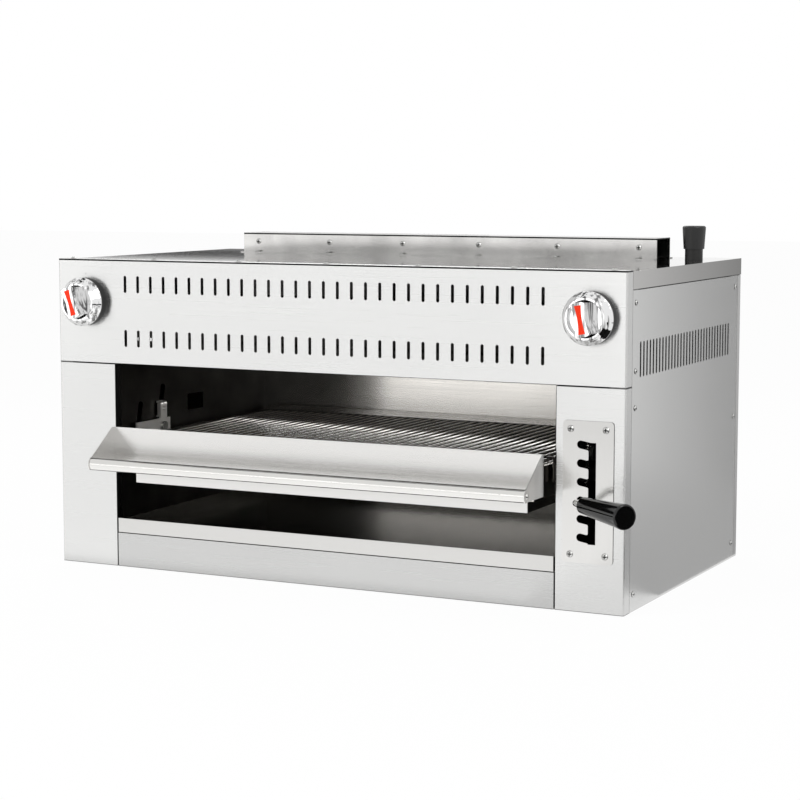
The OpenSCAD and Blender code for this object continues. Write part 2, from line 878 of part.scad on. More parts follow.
// Pilot tubes from the manifold down to a head between the burners
module pilot_burners() {
    tube_x = 40;
    tube_y = manifold_y - pipe_d / 2 - 10;
    z = burner_z + 20;
    color("silver") both_sides() {
        difference() {
            rod_path([[tube_x, manifold_y, knob_z], [tube_x, tube_y, knob_z],
                [tube_x, tube_y, z], [pilot_x, tube_y, z], [pilot_x, pilot_y, z]], 2.5);
            translate([tube_x - 5, manifold_y, knob_z]) rotate([0, 90, 0])
                cylinder(d = pipe_d, h = 10);
        }
        translate([pilot_x, pilot_y, burner_z - 8]) cylinder(r = 5, h = 32);
    }
}

// ---------------------------------------------------------------- gate and screws

module gate_screw_places() {
    half_x = gate_plate_w / 2 - gate_screw_in;
    middle_z = (gate_plate_z[0] + gate_plate_z[1]) / 2;
    half_z = (gate_plate_z[1] - gate_plate_z[0]) / 2 - gate_screw_in;
    for (x = [-1, 1], z = [-1, 1])
        translate([gate_plate_x + x * half_x, front_y, middle_z + z * half_z])
            rotate([90, 0, 0]) children();
}

// Channel with sloping notches to its left
// Cut that rounds a corner. Its edges leave the corner at a0, and at a0 plus its angle.
module round_off_2d(corner, a0, angle, r) {
    t = r / tan(angle / 2);
    mid = [cos(a0 + angle / 2), sin(a0 + angle / 2)];
    centre = corner + r / sin(angle / 2) * mid;
    difference() {
        polygon([corner + t * [cos(a0), sin(a0)], centre,
            corner + t * [cos(a0 + angle), sin(a0 + angle)], corner - 0.4 * mid]);
        translate(centre) circle(r);
    }
}

module gate_cut_2d() {
    low = mouth_z[notch_count - 1] - rod_d / 2 - slot_end_room;
    top = mouth_z[0] + rod_d / 2 + slot_end_room;
    tooth_x = lever_x - gate_slot / 2;
    half_mouth = gate_slot / 2 / cos(notch_slope);
    mouth_rise = gate_slot / 2 * tan(notch_slope);
    translate([lever_x - gate_slot / 2, low]) square([gate_slot, top - low]);
    for (i = [0 : notch_count - 2]) {
        round_off_2d([tooth_x, mouth_z[i + 1] + mouth_rise + half_mouth], 90,
            90 - notch_slope, tooth_r);
        round_off_2d([tooth_x, mouth_z[i] + mouth_rise - half_mouth], 180 - notch_slope,
            90 + notch_slope, tooth_r);
    }
    for (z = mouth_z)
        link_2d([lever_x, z], [lever_x - notch_reach, z + notch_reach * tan(notch_slope)],
            gate_slot);
}

module gate_plate() {
    middle_z = (gate_plate_z[0] + gate_plate_z[1]) / 2;
    color("gainsboro") difference() {
        slab_y(front_y - gate_plate_t, gate_plate_t) difference() {
            translate([gate_plate_x, middle_z])
                rounded_2d(gate_plate_w, gate_plate_z[1] - gate_plate_z[0], gate_plate_r);
            intersection() {
                gate_cut_2d();
                translate([lever_x - notch_reach - gate_slot, 0])
                    square([notch_reach + 1.5 * gate_slot, body_h]);
            }
        }
        gate_screw_places() cylinder(r = shank_hole_r, h = 10, center = true);
    }
}

module gate_screws() {
    color("silver") gate_screw_places() translate([0, 0, gate_plate_t]) screw(4.6, 2.4);
}

module side_screws() {
    color("silver") both_sides() side_screw_places() screw(4);
}

module top_screws() {
    color("silver") {
        top_screw_places() screw(4.4, 2.6);
        riser_screw_places() {
            translate([0, 0, 18]) rotate([90, 0, 0]) screw(4.2, 2.2, 0);
            translate([0, -foot_w / 2, skin]) screw(3.6, 2, 0);
        }
    }
}

// ---------------------------------------------------------------- knobs

bezel_t = 11;
knob_gap = 0.6;
skirt_t = 14;
dish_r = 27;
dish_depth = 6;
bar_w = 21;
bar_waist = 15;
bar_l = 46;
bar_out = 43;
bar_end_r = bar_l / 2 + 0.4;
bar_flare = 2.5;
inlay_size = [10, 38.5];
inlay_waist = 6.6;
inlay_t = 1;

// Places a shape made along +Z so that it stands out of the panel at a knob
module at_knob(side, turn = 0) {
    translate([side * knob_x, front_y, knob_z]) rotate([0, -turn, 0]) rotate([90, 0, 0])
        children();
}

// Radius of the hollow that narrows a strip of length l from w to waist
function waist_r(l, w, waist) = (l * l / 4 + pow((w - waist) / 2, 2)) / (w - waist);

// The inlay is drawn in at its waist, as the bar is
module inlay_2d() {
    r = waist_r(inlay_size[1], inlay_size[0], inlay_waist);
    difference() {
        square(inlay_size, center = true);
        for (s = [-1, 1]) translate([s * (inlay_waist / 2 + r), 0]) circle(r, $fn = 240);
    }
}

// Grip bar with drafted sides, a finger hollow in each, and ends that follow a circle
module knob_bar(low) {
    r = waist_r(bar_l, bar_w, bar_waist);
    difference() {
        intersection() {
            translate([0, bar_l / 2 + 2, 0]) rotate([90, 0, 0]) linear_extrude(bar_l + 4)
                polygon([[-bar_w / 2 - bar_flare, low], [bar_w / 2 + bar_flare, low],
                    [bar_w / 2, bar_out], [-bar_w / 2, bar_out]]);
            translate([0, 0, low - 1]) cylinder(r = bar_end_r, h = bar_out);
        }
        for (s = [-1, 1]) translate([s * (bar_waist / 2 + r), 0, low - 1])
            cylinder(r = r, h = bar_out, $fn = 240);
    }
}

module knob_bezels() {
    color("#151515") for (s = [-1, 1]) at_knob(s) difference() {
        cylinder(r1 = knob_d / 2 - 0.5, r2 = knob_d / 2 - 1.5, h = bezel_t);
        translate([0, 0, -1]) cylinder(r = 8, h = bezel_t + 2);
    }
}

// Skirt with a bevel and a dished face, and a grip bar across it
module knob(side, turn) {
    z0 = bezel_t + knob_gap;
    z1 = z0 + skirt_t;
    r = knob_d / 2;
    color("gainsboro") at_knob(side, turn) difference() {
        union() {
            rotate_extrude() polygon([[0, z0], [r - 1, z0], [r, z0 + 1], [r, z0 + 2.5],
                [dish_r + 1, z1], [dish_r - 1.5, z1], [dish_r - 4, z1 - dish_depth],
                [0, z1 - dish_depth]]);
            knob_bar(z1 - dish_depth - 0.5);
        }
        translate([0, 0, bar_out - inlay_t]) linear_extrude(2 * inlay_t) inlay_2d();
        translate([0, 0, z0 - 1]) cylinder(r = stem_r, h = 17);
    }
}

module knob_inlay(side, turn) {
    color("orangered") at_knob(side, turn) translate([0, 0, bar_out - inlay_t])
        linear_extrude(inlay_t) inlay_2d();
}

module valve_stem(side) {
    stem_outer = bezel_t + knob_gap + 16;
    color("goldenrod") at_knob(side) translate([0, 0, -stem_inner])
        cylinder(r = stem_r, h = stem_inner + stem_outer);
}

module knob_left() { knob(-1, knob_left_turn); }
module knob_right() { knob(1, knob_right_turn); }
module knob_inlay_left() { knob_inlay(-1, knob_left_turn); }
module knob_inlay_right() { knob_inlay(1, knob_right_turn); }
module valve_stem_left() { valve_stem(-1); }
module valve_stem_right() { valve_stem(1); }

// ---------------------------------------------------------------- lift linkage

module at_yz(p) {
    translate([0, p[0], p[1]]) children();
}

module shaft_bearings() {
    sleeve = 5;
    color("goldenrod") both_sides() at_yz(shaft_p) difference() {
        union() {
            cylinder_x(wall_x - sleeve, sleeve + liner + 0.1, bearing_r);
            cylinder_x(wall_x + liner, bearing_flange, bearing_r + 6);
        }
        cylinder_x(wall_x - sleeve - 1, sleeve + liner + bearing_flange + 2,
            shaft_d / 2 + run_fit);
    }
}

// Fixed pivots of the tie links and anchors of the springs
module wall_studs() {
    x0 = wall_x + liner;
    color("silver") both_sides() {
        at_yz(stud_p) {
            cylinder_x(x0, tie_x - x0 - 0.5, 8);
            cylinder_x(tie_x - 0.6, tie_t + 3, pin_d / 2);
            cylinder_x(tie_x + tie_t + 0.5, clip_t, clip_r);
        }
        at_yz([spring_y, spring_top_z]) {
            cylinder_x(x0, 3, 7);
            cylinder_x(x0 + 2.9, spring_x + 6 - x0 - 2.9, spring_stud_r);
        }
    }
}

// Close-wound extension springs that carry most of the weight of the rack. The coil is
// a turned body with one groove for each gap between its turns.
module lift_spring() {
    ring_r = spring_stud_r + 0.2 + spring_wire_r;
    low = ring_r + spring_wire_r - 0.4;
    span = spring_top_z - spring_low_z;
    coil_l = span - 2 * low;
    coils = floor(coil_l / (2.4 * spring_wire_r));
    pitch = coil_l / coils;
    translate([spring_x, spring_y, spring_low_z]) {
        for (z = [0, span]) translate([0, 0, z]) rotate([0, 90, 0]) rotate_extrude()
            translate([ring_r, 0]) circle(spring_wire_r, $fn = 16);
        translate([0, 0, low]) rotate_extrude() polygon([[0, 0],
            for (i = [0 : coils - 1]) each [[spring_r - spring_wire_r, i * pitch],
                [spring_r, (i + 0.5) * pitch]],
            [spring_r - spring_wire_r, coil_l], [0, coil_l]]);
    }
}

module lift_springs() {
    color("dimgray") both_sides() lift_spring();
}

module lift_shaft() {
    left_end = arm_x + arm_t + 12;
    right_end = lever_x + 14;
    color("silver") at_yz(shaft_p) cylinder_x(-left_end, left_end + right_end, shaft_d / 2);
}

module lift_arms() {
    color("slategray") both_sides() difference() {
        union() {
            slab_x(arm_x, arm_t) link_2d(pin_a, shaft_p, arm_w);
            at_yz(shaft_p) cylinder_x(arm_x - 0.8, arm_t + 8.8, 15);
            at_yz([spring_y, spring_low_z])
                cylinder_x(arm_x + 1, spring_x + 5 - arm_x, spring_stud_r);
        }
        at_yz(shaft_p) cylinder_x(arm_x - 2, 30, shaft_d / 2);
        at_yz(pin_a) cylinder_x(arm_x - 2, arm_t + 4, pin_d / 2 + run_fit);
    }
}

// Frame of the lever: its origin is where the rod passes the gate, its -Y runs along the rod
module at_gate() {
    translate([lever_x, gate_y, rest_z]) rotate([-rod_rise, 0, 0]) children();
}

hinge_p = [lever_x, gate_y + hinge_back * cos(rod_rise), rest_z - hinge_back * sin(rod_rise)];
knuckle_h = 15;
knuckle_r = 11;
hinge_pin_r = 4;
ear_t = 4;
ear_gap = 0.4;

// Frame of the hinge, tipped so that the rod climbs into a notch as it swings left
module at_hinge() {
    translate(hinge_p) rotate([0, notch_slope, 0]) children();
}

module lever_arm() {
    t = 8;
    w = 26;
    bar_end = [hinge_p[1] + 31, hinge_p[2] + 31 * (shaft_z - hinge_p[2]) / (shaft_p[0] - hinge_p[1])];
    color("slategray") difference() {
        union() {
            slab_x(lever_x - t / 2, t) link_2d(shaft_p, bar_end, w);
            slab_x(lever_x - t / 2, t) link_2d(bar_end, [hinge_p[1] + 6, hinge_p[2]], 11);
            at_yz(shaft_p) cylinder_x(lever_x - t / 2 - 2, t + 4, 16);
            at_hinge() translate([0, 0, -knuckle_h / 2]) cylinder(r = knuckle_r, h = knuckle_h);
        }
        at_yz(shaft_p) cylinder_x(lever_x - t, 2 * t, shaft_d / 2);
        at_hinge() cylinder(r = hinge_pin_r + run_fit, h = 2 * knuckle_h, center = true);
    }
}

// Steel rod: a clevis and hinge pin at its rear, an elbow at its front
module lever_rod() {
    ear_z = knuckle_h / 2 + ear_gap;
    ear_r = 12;
    yoke_y = -knuckle_r - 3;
    yoke_l = 10;
    color("silver") {
        at_hinge() {
            for (z = [ear_z, -ear_z - ear_t]) translate([0, 0, z]) {
                cylinder(r = ear_r, h = ear_t);
                translate([-ear_r, yoke_y - yoke_l, 0]) cube([2 * ear_r, yoke_l - yoke_y, ear_t]);
            }
            translate([-ear_r, yoke_y - yoke_l, -ear_z - 0.1])
                cube([2 * ear_r, yoke_l, 2 * ear_z + 0.2]);
            cylinder(r = hinge_pin_r, h = 2 * (ear_z + ear_t) + 6, center = true);
        }
        at_gate() {
            rear = hinge_back + yoke_y - yoke_l + 3;
            run = rod_front + rear;
            bend = elbow_r * tan(grip_turn / 2);
            at_elbow() {
                translate([0, run, 0]) rotate([90, 0, 0])
                    cylinder(d = rod_d, h = run - bend + bend_swell);
                translate([elbow_r, bend, 0]) rotate([0, 0, 180]) rotate_extrude(angle = grip_turn)
                    translate([elbow_r, 0]) circle(d = rod_d + bend_swell);
                rotate([0, 0, grip_turn]) translate([0, bend_swell - bend, 0])
                    rotate([90, 0, 0]) cylinder(d = rod_d, h = grip_sink + grip_start - bend);
            }
        }
    }
}

elbow_r = 12;
bend_swell = 0.4;
grip_sink = 30;
grip_start = 22;

// The grip's plane is rolled about the rod so that the grip itself lies level
elbow_roll = asin(sin(rod_rise) * cos(grip_turn) / sin(grip_turn));

// Frame of the bend: its origin is the corner where the two straight runs would meet
module at_elbow() {
    translate([0, -rod_front, 0]) rotate([0, elbow_roll, 0]) children();
}

// Moulded grip that widens towards its free end
module lever_grip() {
    r0 = 11.3;
    r1 = 16.8;
    edge = 2.4;
    l = grip_reach - grip_start;
    rounded_end = [for (a = [0 : 18 : 90]) [r1 - edge + edge * cos(a), l - edge + edge * sin(a)]];
    color("#101010") at_gate() at_elbow() rotate([0, 0, grip_turn]) translate([0, -grip_start, 0])
        rotate([90, 0, 0]) difference() {
            rotate_extrude() polygon(concat([[0, 0], [r0 - 1.5, 0], [r0, 1.5]], rounded_end,
                [[0, l]]));
            translate([0, 0, -1]) cylinder(d = rod_d, h = grip_sink + 1);
        }
}

module tie_link() {
    color("slategray") difference() {
        slab_x(tie_x, tie_t) link_2d(stud_p, pin_b, tie_w);
        at_yz(stud_p) cylinder_x(tie_x - 1, tie_t + 2, pin_d / 2 + run_fit);
        at_yz(pin_b) cylinder_x(tie_x - 1, tie_t + 2, pin_d / 2 + open_fit);
    }
}

module tie_link_right() { tie_link(); }
module tie_link_left() { mirror([1, 0, 0]) tie_link(); }

// ---------------------------------------------------------------- carriage

// Side rails that carry the rack, with an anti-tip strap in front and a bar across the rear
module carriage_rails() {
    web_top = 190;
    y0 = front_y + 36;
    y1 = back_wall_y - 22;
    cross_z = [134, 147];
    strap_y = front_y + 20;
    strap_top = 207;
    color("dimgray") {
        both_sides() {
            block([rail_x, y0, rail_z], [rail_x + rail_t, y1, web_top]);
            block([rail_x - 10, y0, rail_z], [rail_x + 0.1, y1, rail_z + rail_t]);
            block([rail_x, y1 - 22, cross_z[0]], [rail_x + rail_t, y1, rail_z + 0.1]);
            block([rail_x, strap_y, rail_z], [rail_x + rail_t, y0 + 0.1, strap_top]);
            block([rail_x - 10, strap_y, strap_top - skin], [rail_x + 0.1, strap_y + 8, strap_top]);
            block([rail_x - 10, strap_y, grid_top + 3],
                [rail_x - 10 + skin, strap_y + 8, strap_top - skin + 0.1]);
        }
        block([-rail_x - 0.1, y1 - 4, cross_z[0]], [rail_x + 0.1, y1, cross_z[1]]);
    }
}

// Plates that carry the lift pins. Each has an ear above the grid, whose top curls towards
// the wall over a stiffening strip that a screw and a spacer hold to it.
module hangers() {
    low = rail_z - 2;
    ear_y = [pin_a[0] - 9, pin_a[0] + 9];
    ear_top = 241;
    curl_r = 5;
    strip_t = 2;
    strip_low = 216;
    foot_r = 2.4;
    outer = hanger_x + hanger_t;
    strip_x = wall_x - 0.6 - foot_r - strip_t;
    screw_z = 229;
    color("silver") both_sides() {
        difference() {
            slab_x(hanger_x, hanger_t) {
                translate([pin_b[0] - 12, low]) square([pin_a[0] - pin_b[0] + 30, pin_z + 12 - low]);
                translate([ear_y[0], low]) square([ear_y[1] - ear_y[0], ear_top - curl_r - low]);
            }
            for (p = [pin_a, pin_b]) at_yz(p) cylinder_x(hanger_x - 1, hanger_t + 2, pin_d / 2);
        }
        slab_y(ear_y[0], ear_y[1] - ear_y[0]) {
            intersection() {
                translate([hanger_x + curl_r, ear_top - curl_r]) difference() {
                    circle(curl_r);
                    circle(curl_r - hanger_t);
                }
                translate([hanger_x, ear_top - curl_r]) square(curl_r);
            }
            translate([hanger_x + curl_r, ear_top - hanger_t]) square([2.4, hanger_t]);
            translate([strip_x, strip_low + foot_r])
                square([strip_t, ear_top - hanger_t - 1 - strip_low - foot_r]);
            translate([strip_x + foot_r, strip_low]) square([strip_t, strip_t]);
            translate([strip_x + foot_r, strip_low + foot_r]) intersection() {
                difference() {
                    circle(foot_r);
                    circle(foot_r - strip_t);
                }
                translate([-foot_r, -foot_r]) square(foot_r);
            }
        }
        translate([0, pin_a[0], screw_z]) {
            cylinder_x(outer - 0.1, strip_x - outer + 0.2, 3.2);
            translate([hanger_x, 0, 0]) rotate([0, -90, 0]) screw(3.4, 2.2, 0);
        }
    }
}

module link_pins() {
    color("silver") both_sides() {
        at_yz(pin_a) {
            cylinder_x(hanger_x - 3, 3, 7);
            cylinder_x(hanger_x - 1, arm_x + arm_t - hanger_x + 2.6, pin_d / 2);
            cylinder_x(arm_x + arm_t + 0.4, clip_t, clip_r);
        }
        at_yz(pin_b) {
            cylinder_x(hanger_x, tie_x + tie_t - hanger_x + 3, pin_d / 2);
            cylinder_x(tie_x + tie_t + 0.5, clip_t, clip_r);
        }
    }
}

// ---------------------------------------------------------------- rack

// Side bars with a shelf for the grid and a runner for the drip pan
// Bars under the grid, with a channel on each for the pan's flange, and a stop bar behind
module rack_frame() {
    l = rack_y[1] - rack_y[0];
    runner_h = 12;
    color("dimgray") {
        both_sides() slab_y(rack_y[0], l) {
            translate([bar_x, rail_z + rail_t + slide_gap])
                square([bar_t, grid_top - rail_z - rail_t - slide_gap]);
            translate([runner_x, rail_z + 4]) square([bar_x - runner_x + 0.1, 2]);
            translate([runner_x, lip_z]) square([2, rail_z + 5 - lip_z]);
            for (z = [lip_z, lip_z + runner_h - skin])
                translate([runner_x - 9, z]) square([9.1, skin]);
        }
        block([-bar_x - bar_t, rack_y[1] - 0.05, rail_z + rail_t + slide_gap],
            [bar_x + bar_t, rack_y[1] + skin, grid_top + 8]);
    }
}

module grid() {
    half_l = (rack_y[1] - rack_y[0]) / 2 - 4;
    middle = (rack_y[0] + rack_y[1]) / 2;
    rod_z = grid_top - grid_rod_d / 2;
    low = rail_z + 6;
    half_w = bar_x - 0.6;
    side_count = floor((half_w - grid_rod_d / 2 - 2) / rod_pitch);
    cross_count = 5;
    bar_thickness = 3;
    color("#2a2a28") {
        for (i = [-side_count : side_count])
            translate([i * rod_pitch, middle + half_l, rod_z])
                rotate([90, 0, 0]) cylinder(d = grid_rod_d, h = 2 * half_l, $fn = 24);
        for (s = [-1, 1]) translate([-half_w, middle + s * half_l - bar_thickness / 2, low])
            cube([2 * half_w, bar_thickness, grid_top - low]);
        for (i = [1 : cross_count]) translate([-half_w,
            middle - half_l + i * 2 * half_l / (cross_count + 1) - bar_thickness / 2, low])
            cube([2 * half_w, bar_thickness, grid_top - grid_rod_d + 0.8 - low]);
    }
}

// Upright sheet with a gusset at each end, bent from one blank
module rack_front() {
    y1 = rack_y[0];
    tube_y = front_y - tube_ahead;
    nose_r = tube_d / 2 + 1.5;
    half_w = wall_x - 8;
    color("whitesmoke") difference() {
        intersection() {
            translate([0, y1, rack_front_z[0]]) linear_extrude(rack_front_z[1] - rack_front_z[0])
                mirror([0, 1, 0]) u_plan_2d(2 * half_w, y1 - tube_y + 2 * nose_r, skin);
            slab_x(-half_w - 1, 2 * half_w + 2) {
                polygon([[y1 + 1, rack_front_z[0]], [y1 + 1, rack_front_z[1]],
                    [y1 - 6, rack_front_z[1]],
                    [tube_y - nose_r * cos(35), tube_z + nose_r * sin(35)],
                    [tube_y, rack_front_z[0]]]);
                intersection() {
                    translate([tube_y, tube_z]) circle(nose_r);
                    translate([tube_y - 20, rack_front_z[0]]) square([40, 40]);
                }
            }
        }
        both_sides() translate([0, tube_y, tube_z]) cylinder_x(half_w - 2 * skin, 4 * skin, shank_r);
    }
}

// Tube across the gussets, with a screw into each end
module handle_tube() {
    half_w = wall_x - 8 - skin;
    color("gainsboro") translate([0, front_y - tube_ahead, tube_z]) {
        difference() {
            cylinder_x(-half_w, 2 * half_w, tube_d / 2);
            cylinder_x(-half_w + 12, 2 * half_w - 24, tube_d / 2 - skin);
        }
        both_sides() {
            cylinder_x(half_w - 0.1, skin + 0.2, shank_r);
            translate([half_w + skin, 0, 0]) rotate([0, 90, 0]) screw(4.6, 2.2, 0.5);
        }
    }
}

// Open pan whose side flanges slide in the runners of the rack
module drip_pan() {
    flange = runner_x - 1.5 - pan_w / 2;
    top = lip_z + skin + slide_gap + skin;
    color("#1b1b1a") {
        difference() {
            block([-pan_w / 2, pan_y[0], pan_z], [pan_w / 2, pan_y[1], top]);
            block([-pan_w / 2 + liner, pan_y[0] + liner, pan_z + liner],
                [pan_w / 2 - liner, pan_y[1] - liner, top + 1]);
        }
        both_sides() block([pan_w / 2 - 0.1, pan_y[0] + 6, top - skin],
            [pan_w / 2 + flange, pan_y[1], top]);
    }
}

// Open tray on the cavity floor, with its front wall flush with the kick panel
module crumb_tray() {
    z0 = floor_z + slide_gap;
    half_w = wall_x - tray_gap;
    y0 = front_y + skin;
    y1 = back_wall_y - 9;
    top = kick_h + tray_h + 2;
    color("#3a3a38") {
        difference() {
            block([-half_w, y0, z0], [half_w, y1, top - 2]);
            block([-half_w + liner, y0 - 1, z0 + liner], [half_w - liner, y1 - liner, top]);
        }
        block([-half_w, front_y, kick_h + skin_gap], [half_w, y0 + 0.1, top]);
    }
}

base_pan();
corner_posts();
side_panel_left();
side_panel_right();
back_panel();
top_cover();
control_panel();
panel_stiffener();
column_left();
column_right();
inner_wall_left();
inner_wall_right();
inner_back_wall();
cavity_floor();
kick_panel();
flue_riser();
flue_duct();
burner_frame();
burner_left();
burner_right();
burner_tiles();
radiant_screens();
mixer_tubes();
gas_manifold();
gas_valve_left();
gas_valve_right();
orifice_lines();
gas_inlet_pipe();
inlet_cap();
pilot_burners();
gate_plate();
gate_screws();
side_screws();
top_screws();
knob_bezels();
shaft_bearings();
wall_studs();
lift_springs();
knob_left();
knob_right();
knob_inlay_left();
knob_inlay_right();
valve_stem_left();
valve_stem_right();
lift_shaft();
lift_arms();
lever_arm();
lever_rod();
lever_grip();
tie_link_left();
tie_link_right();
carriage_rails();
hangers();
link_pins();
rack_frame();
grid();
rack_front();
handle_tube();
drip_pan();
crumb_tray();
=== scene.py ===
"""The looks of a gas cheese melter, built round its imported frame.

The file follows the appliance as it is put together: the camera and the studio, the skins and
the frame, the flue, the cavity's liners, the burners and the gas train, the inlet's cap and the
screws, then the gate, the lift linkage, the lever, the rack, the drip pan and the knobs.
Everything is in metres, in the frame's own axes.
"""

import json
import math

import bmesh
import bpy
from mathutils import Matrix, Vector

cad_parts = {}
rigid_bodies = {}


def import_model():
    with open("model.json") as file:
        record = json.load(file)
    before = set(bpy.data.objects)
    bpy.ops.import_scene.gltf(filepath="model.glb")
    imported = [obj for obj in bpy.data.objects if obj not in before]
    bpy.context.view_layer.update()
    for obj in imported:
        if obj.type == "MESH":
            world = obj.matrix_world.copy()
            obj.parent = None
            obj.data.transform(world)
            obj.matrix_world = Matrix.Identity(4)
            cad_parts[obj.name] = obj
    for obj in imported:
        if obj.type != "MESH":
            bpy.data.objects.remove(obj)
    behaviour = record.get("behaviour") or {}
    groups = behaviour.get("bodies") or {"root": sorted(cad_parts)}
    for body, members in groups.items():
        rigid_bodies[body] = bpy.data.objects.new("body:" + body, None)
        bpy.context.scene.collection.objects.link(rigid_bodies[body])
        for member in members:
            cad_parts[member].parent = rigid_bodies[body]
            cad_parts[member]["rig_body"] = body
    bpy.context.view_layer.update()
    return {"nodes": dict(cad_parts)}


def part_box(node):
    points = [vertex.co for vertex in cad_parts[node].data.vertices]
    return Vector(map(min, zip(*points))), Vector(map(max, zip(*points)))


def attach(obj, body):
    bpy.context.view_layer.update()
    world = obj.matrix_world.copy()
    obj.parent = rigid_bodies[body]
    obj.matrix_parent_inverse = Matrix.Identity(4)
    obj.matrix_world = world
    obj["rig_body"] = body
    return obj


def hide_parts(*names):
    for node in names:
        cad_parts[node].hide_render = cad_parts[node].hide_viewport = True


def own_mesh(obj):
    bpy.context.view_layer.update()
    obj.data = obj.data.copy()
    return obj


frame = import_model()
nodes = frame["nodes"]


# ---------------------------------------------------------------------------
# Camera
# A long lens from the right front, a little above the top cover, as a catalogue
# photograph of a counter-top appliance is taken. Colours render as they are written.
# ---------------------------------------------------------------------------

CAMERA_PLACE = (1.4018, -2.8210, 0.5907)
CAMERA_TURN = 0.4622
CAMERA_TILT = 0.1091
LENS_MM = 92.79
SENSOR_MM = 36

camera_data = bpy.data.cameras.new("camera")
camera_data.lens = LENS_MM
camera_data.sensor_width = SENSOR_MM
camera = bpy.data.objects.new("camera", camera_data)
camera.location = CAMERA_PLACE
camera.rotation_euler = (math.pi / 2 - CAMERA_TILT, 0, CAMERA_TURN)
bpy.context.scene.collection.objects.link(camera)
bpy.context.scene.camera = camera
bpy.context.scene.view_settings.view_transform = "Standard"


# ---------------------------------------------------------------------------
# Studio
# A white sweep that runs out of sight, a large soft box over the front left, a strip light
# over the right, an edge light behind, two small lamps that pick out the cavity's steel, and
# boards round the set that only the bare steel mirrors.
# ---------------------------------------------------------------------------

FILL_LIGHT = 0.62
GLOW_SHARE = 0.95
SWEEP_SIZE = (30, 30)
SWEEP_DROP = 0.0005  # keeps the floor's plane off the base's
UP, TO_FRONT, TO_BACK, DOWN = (0, 0, 1), (0, -1, 0), (0, 1, 0), (0, 0, -1)
BAND_Y, BAND_Z, BAND_HEIGHT = -3.38, 0.66, 0.2


def linear(code):
    """The linear RGBA of an sRGB hex colour such as "E8E8E6"."""
    channels = [int(code[i : i + 2], 16) / 255 for i in (0, 2, 4)]
    return [c / 12.92 if c <= 0.04045 else ((c + 0.055) / 1.055) ** 2.4 for c in channels] + [1]


def add(tree, kind, inputs=None, **settings):
    """Adds one shader node. Its inputs are values, or the sockets that they link from."""
    node = tree.nodes.new(kind)
    for name, value in settings.items():
        setattr(node, name, value)
    for name, value in (inputs or {}).items():
        if isinstance(value, bpy.types.NodeSocket):
            tree.links.new(value, node.inputs[name])
        else:
            node.inputs[name].default_value = value
    return node


def new_finish(name, inputs):
    """A new material, its node tree, and its shader with these inputs set."""
    material = bpy.data.materials.new(name)
    material.use_nodes = True
    shader = material.node_tree.nodes["Principled BSDF"]
    for socket, value in inputs.items():
        shader.inputs[socket].default_value = value
    return material, material.node_tree, shader


def seen_directly_or_in_gloss(tree):
    """1 for rays from the camera, and for those that metal and glass send out."""
    path = add(tree, "ShaderNodeLightPath")
    either = add(tree, "ShaderNodeMath", {0: path.outputs["Is Camera Ray"],
        1: path.outputs["Is Glossy Ray"]}, operation="MAXIMUM")
    return add(tree, "ShaderNodeMath", {0: either.outputs[0],
        1: path.outputs["Is Transmission Ray"]}, operation="MAXIMUM").outputs[0]


world = bpy.data.worlds.new("studio")
world.use_nodes = True
bpy.context.scene.world = world
air = world.node_tree
air.nodes.clear()
fill = add(air, "ShaderNodeBackground", {"Color": linear("FFFFFF"), "Strength": FILL_LIGHT})
white = add(air, "ShaderNodeBackground", {"Color": linear("FFFFFF"), "Strength": 1.0})
sky = add(air, "ShaderNodeMixShader", {0: seen_directly_or_in_gloss(air),
    1: fill.outputs[0], 2: white.outputs[0]})
add(air, "ShaderNodeOutputWorld", {"Surface": sky.outputs[0]})


def card(name, centre, size, facing, material):
    """A flat panel of the studio, square to the way it faces."""
    mesh = bpy.data.meshes.new(name)
    w, h = size[0] / 2, size[1] / 2
    mesh.from_pydata([(-w, -h, 0), (w, -h, 0), (w, h, 0), (-w, h, 0)], [], [(0, 1, 2, 3)])
    mesh.materials.append(material)
    panel = bpy.data.objects.new(name, mesh)
    panel.location = centre
    panel.rotation_euler = Vector(facing).to_track_quat("Z", "Y").to_euler()
    bpy.context.scene.collection.objects.link(panel)
    return panel


sweep, paper, matt = new_finish("white studio sweep", {"Base Color": linear("F8F8F8"),
    "Roughness": 0.9, "Specular IOR Level": 0.0})
glow = add(paper, "ShaderNodeEmission", {"Color": linear("FFFFFF"), "Strength": 1.0})
share = add(paper, "ShaderNodeMath", {0: seen_directly_or_in_gloss(paper), 1: GLOW_SHARE},
    operation="MULTIPLY")
lit = add(paper, "ShaderNodeMixShader", {0: share.outputs[0], 1: matt.outputs[0],
    2: glow.outputs[0]})
paper.links.new(lit.outputs[0], paper.nodes["Material Output"].inputs["Surface"])
card("floor", (0, 0, -SWEEP_DROP), SWEEP_SIZE, UP, sweep)


def board(name, centre, size, facing, tone, far_tone=None, along=0, strength=1.0):
    """A board that only glossy surfaces see. Its tone can run from one side to the other."""
    material = bpy.data.materials.new(name)
    material.use_nodes = True
    tree = material.node_tree
    tree.nodes.clear()
    place = add(tree, "ShaderNodeTexCoord")
    parts = add(tree, "ShaderNodeSeparateXYZ", {0: place.outputs["Object"]})
    share = add(tree, "ShaderNodeMapRange", {"Value": parts.outputs[along],
        "From Min": -size[along] / 2, "From Max": size[along] / 2})
    shade = add(tree, "ShaderNodeMix", {0: share.outputs[0], 6: linear(tone),
        7: linear(far_tone or tone)}, data_type="RGBA")
    paint = add(tree, "ShaderNodeEmission", {"Color": shade.outputs[2], "Strength": strength})
    add(tree, "ShaderNodeOutputMaterial", {"Surface": paint.outputs[0]})
    panel = card(name, centre, size, facing, material)
    panel.visible_camera = False
    panel.visible_diffuse = False
    panel.visible_shadow = False


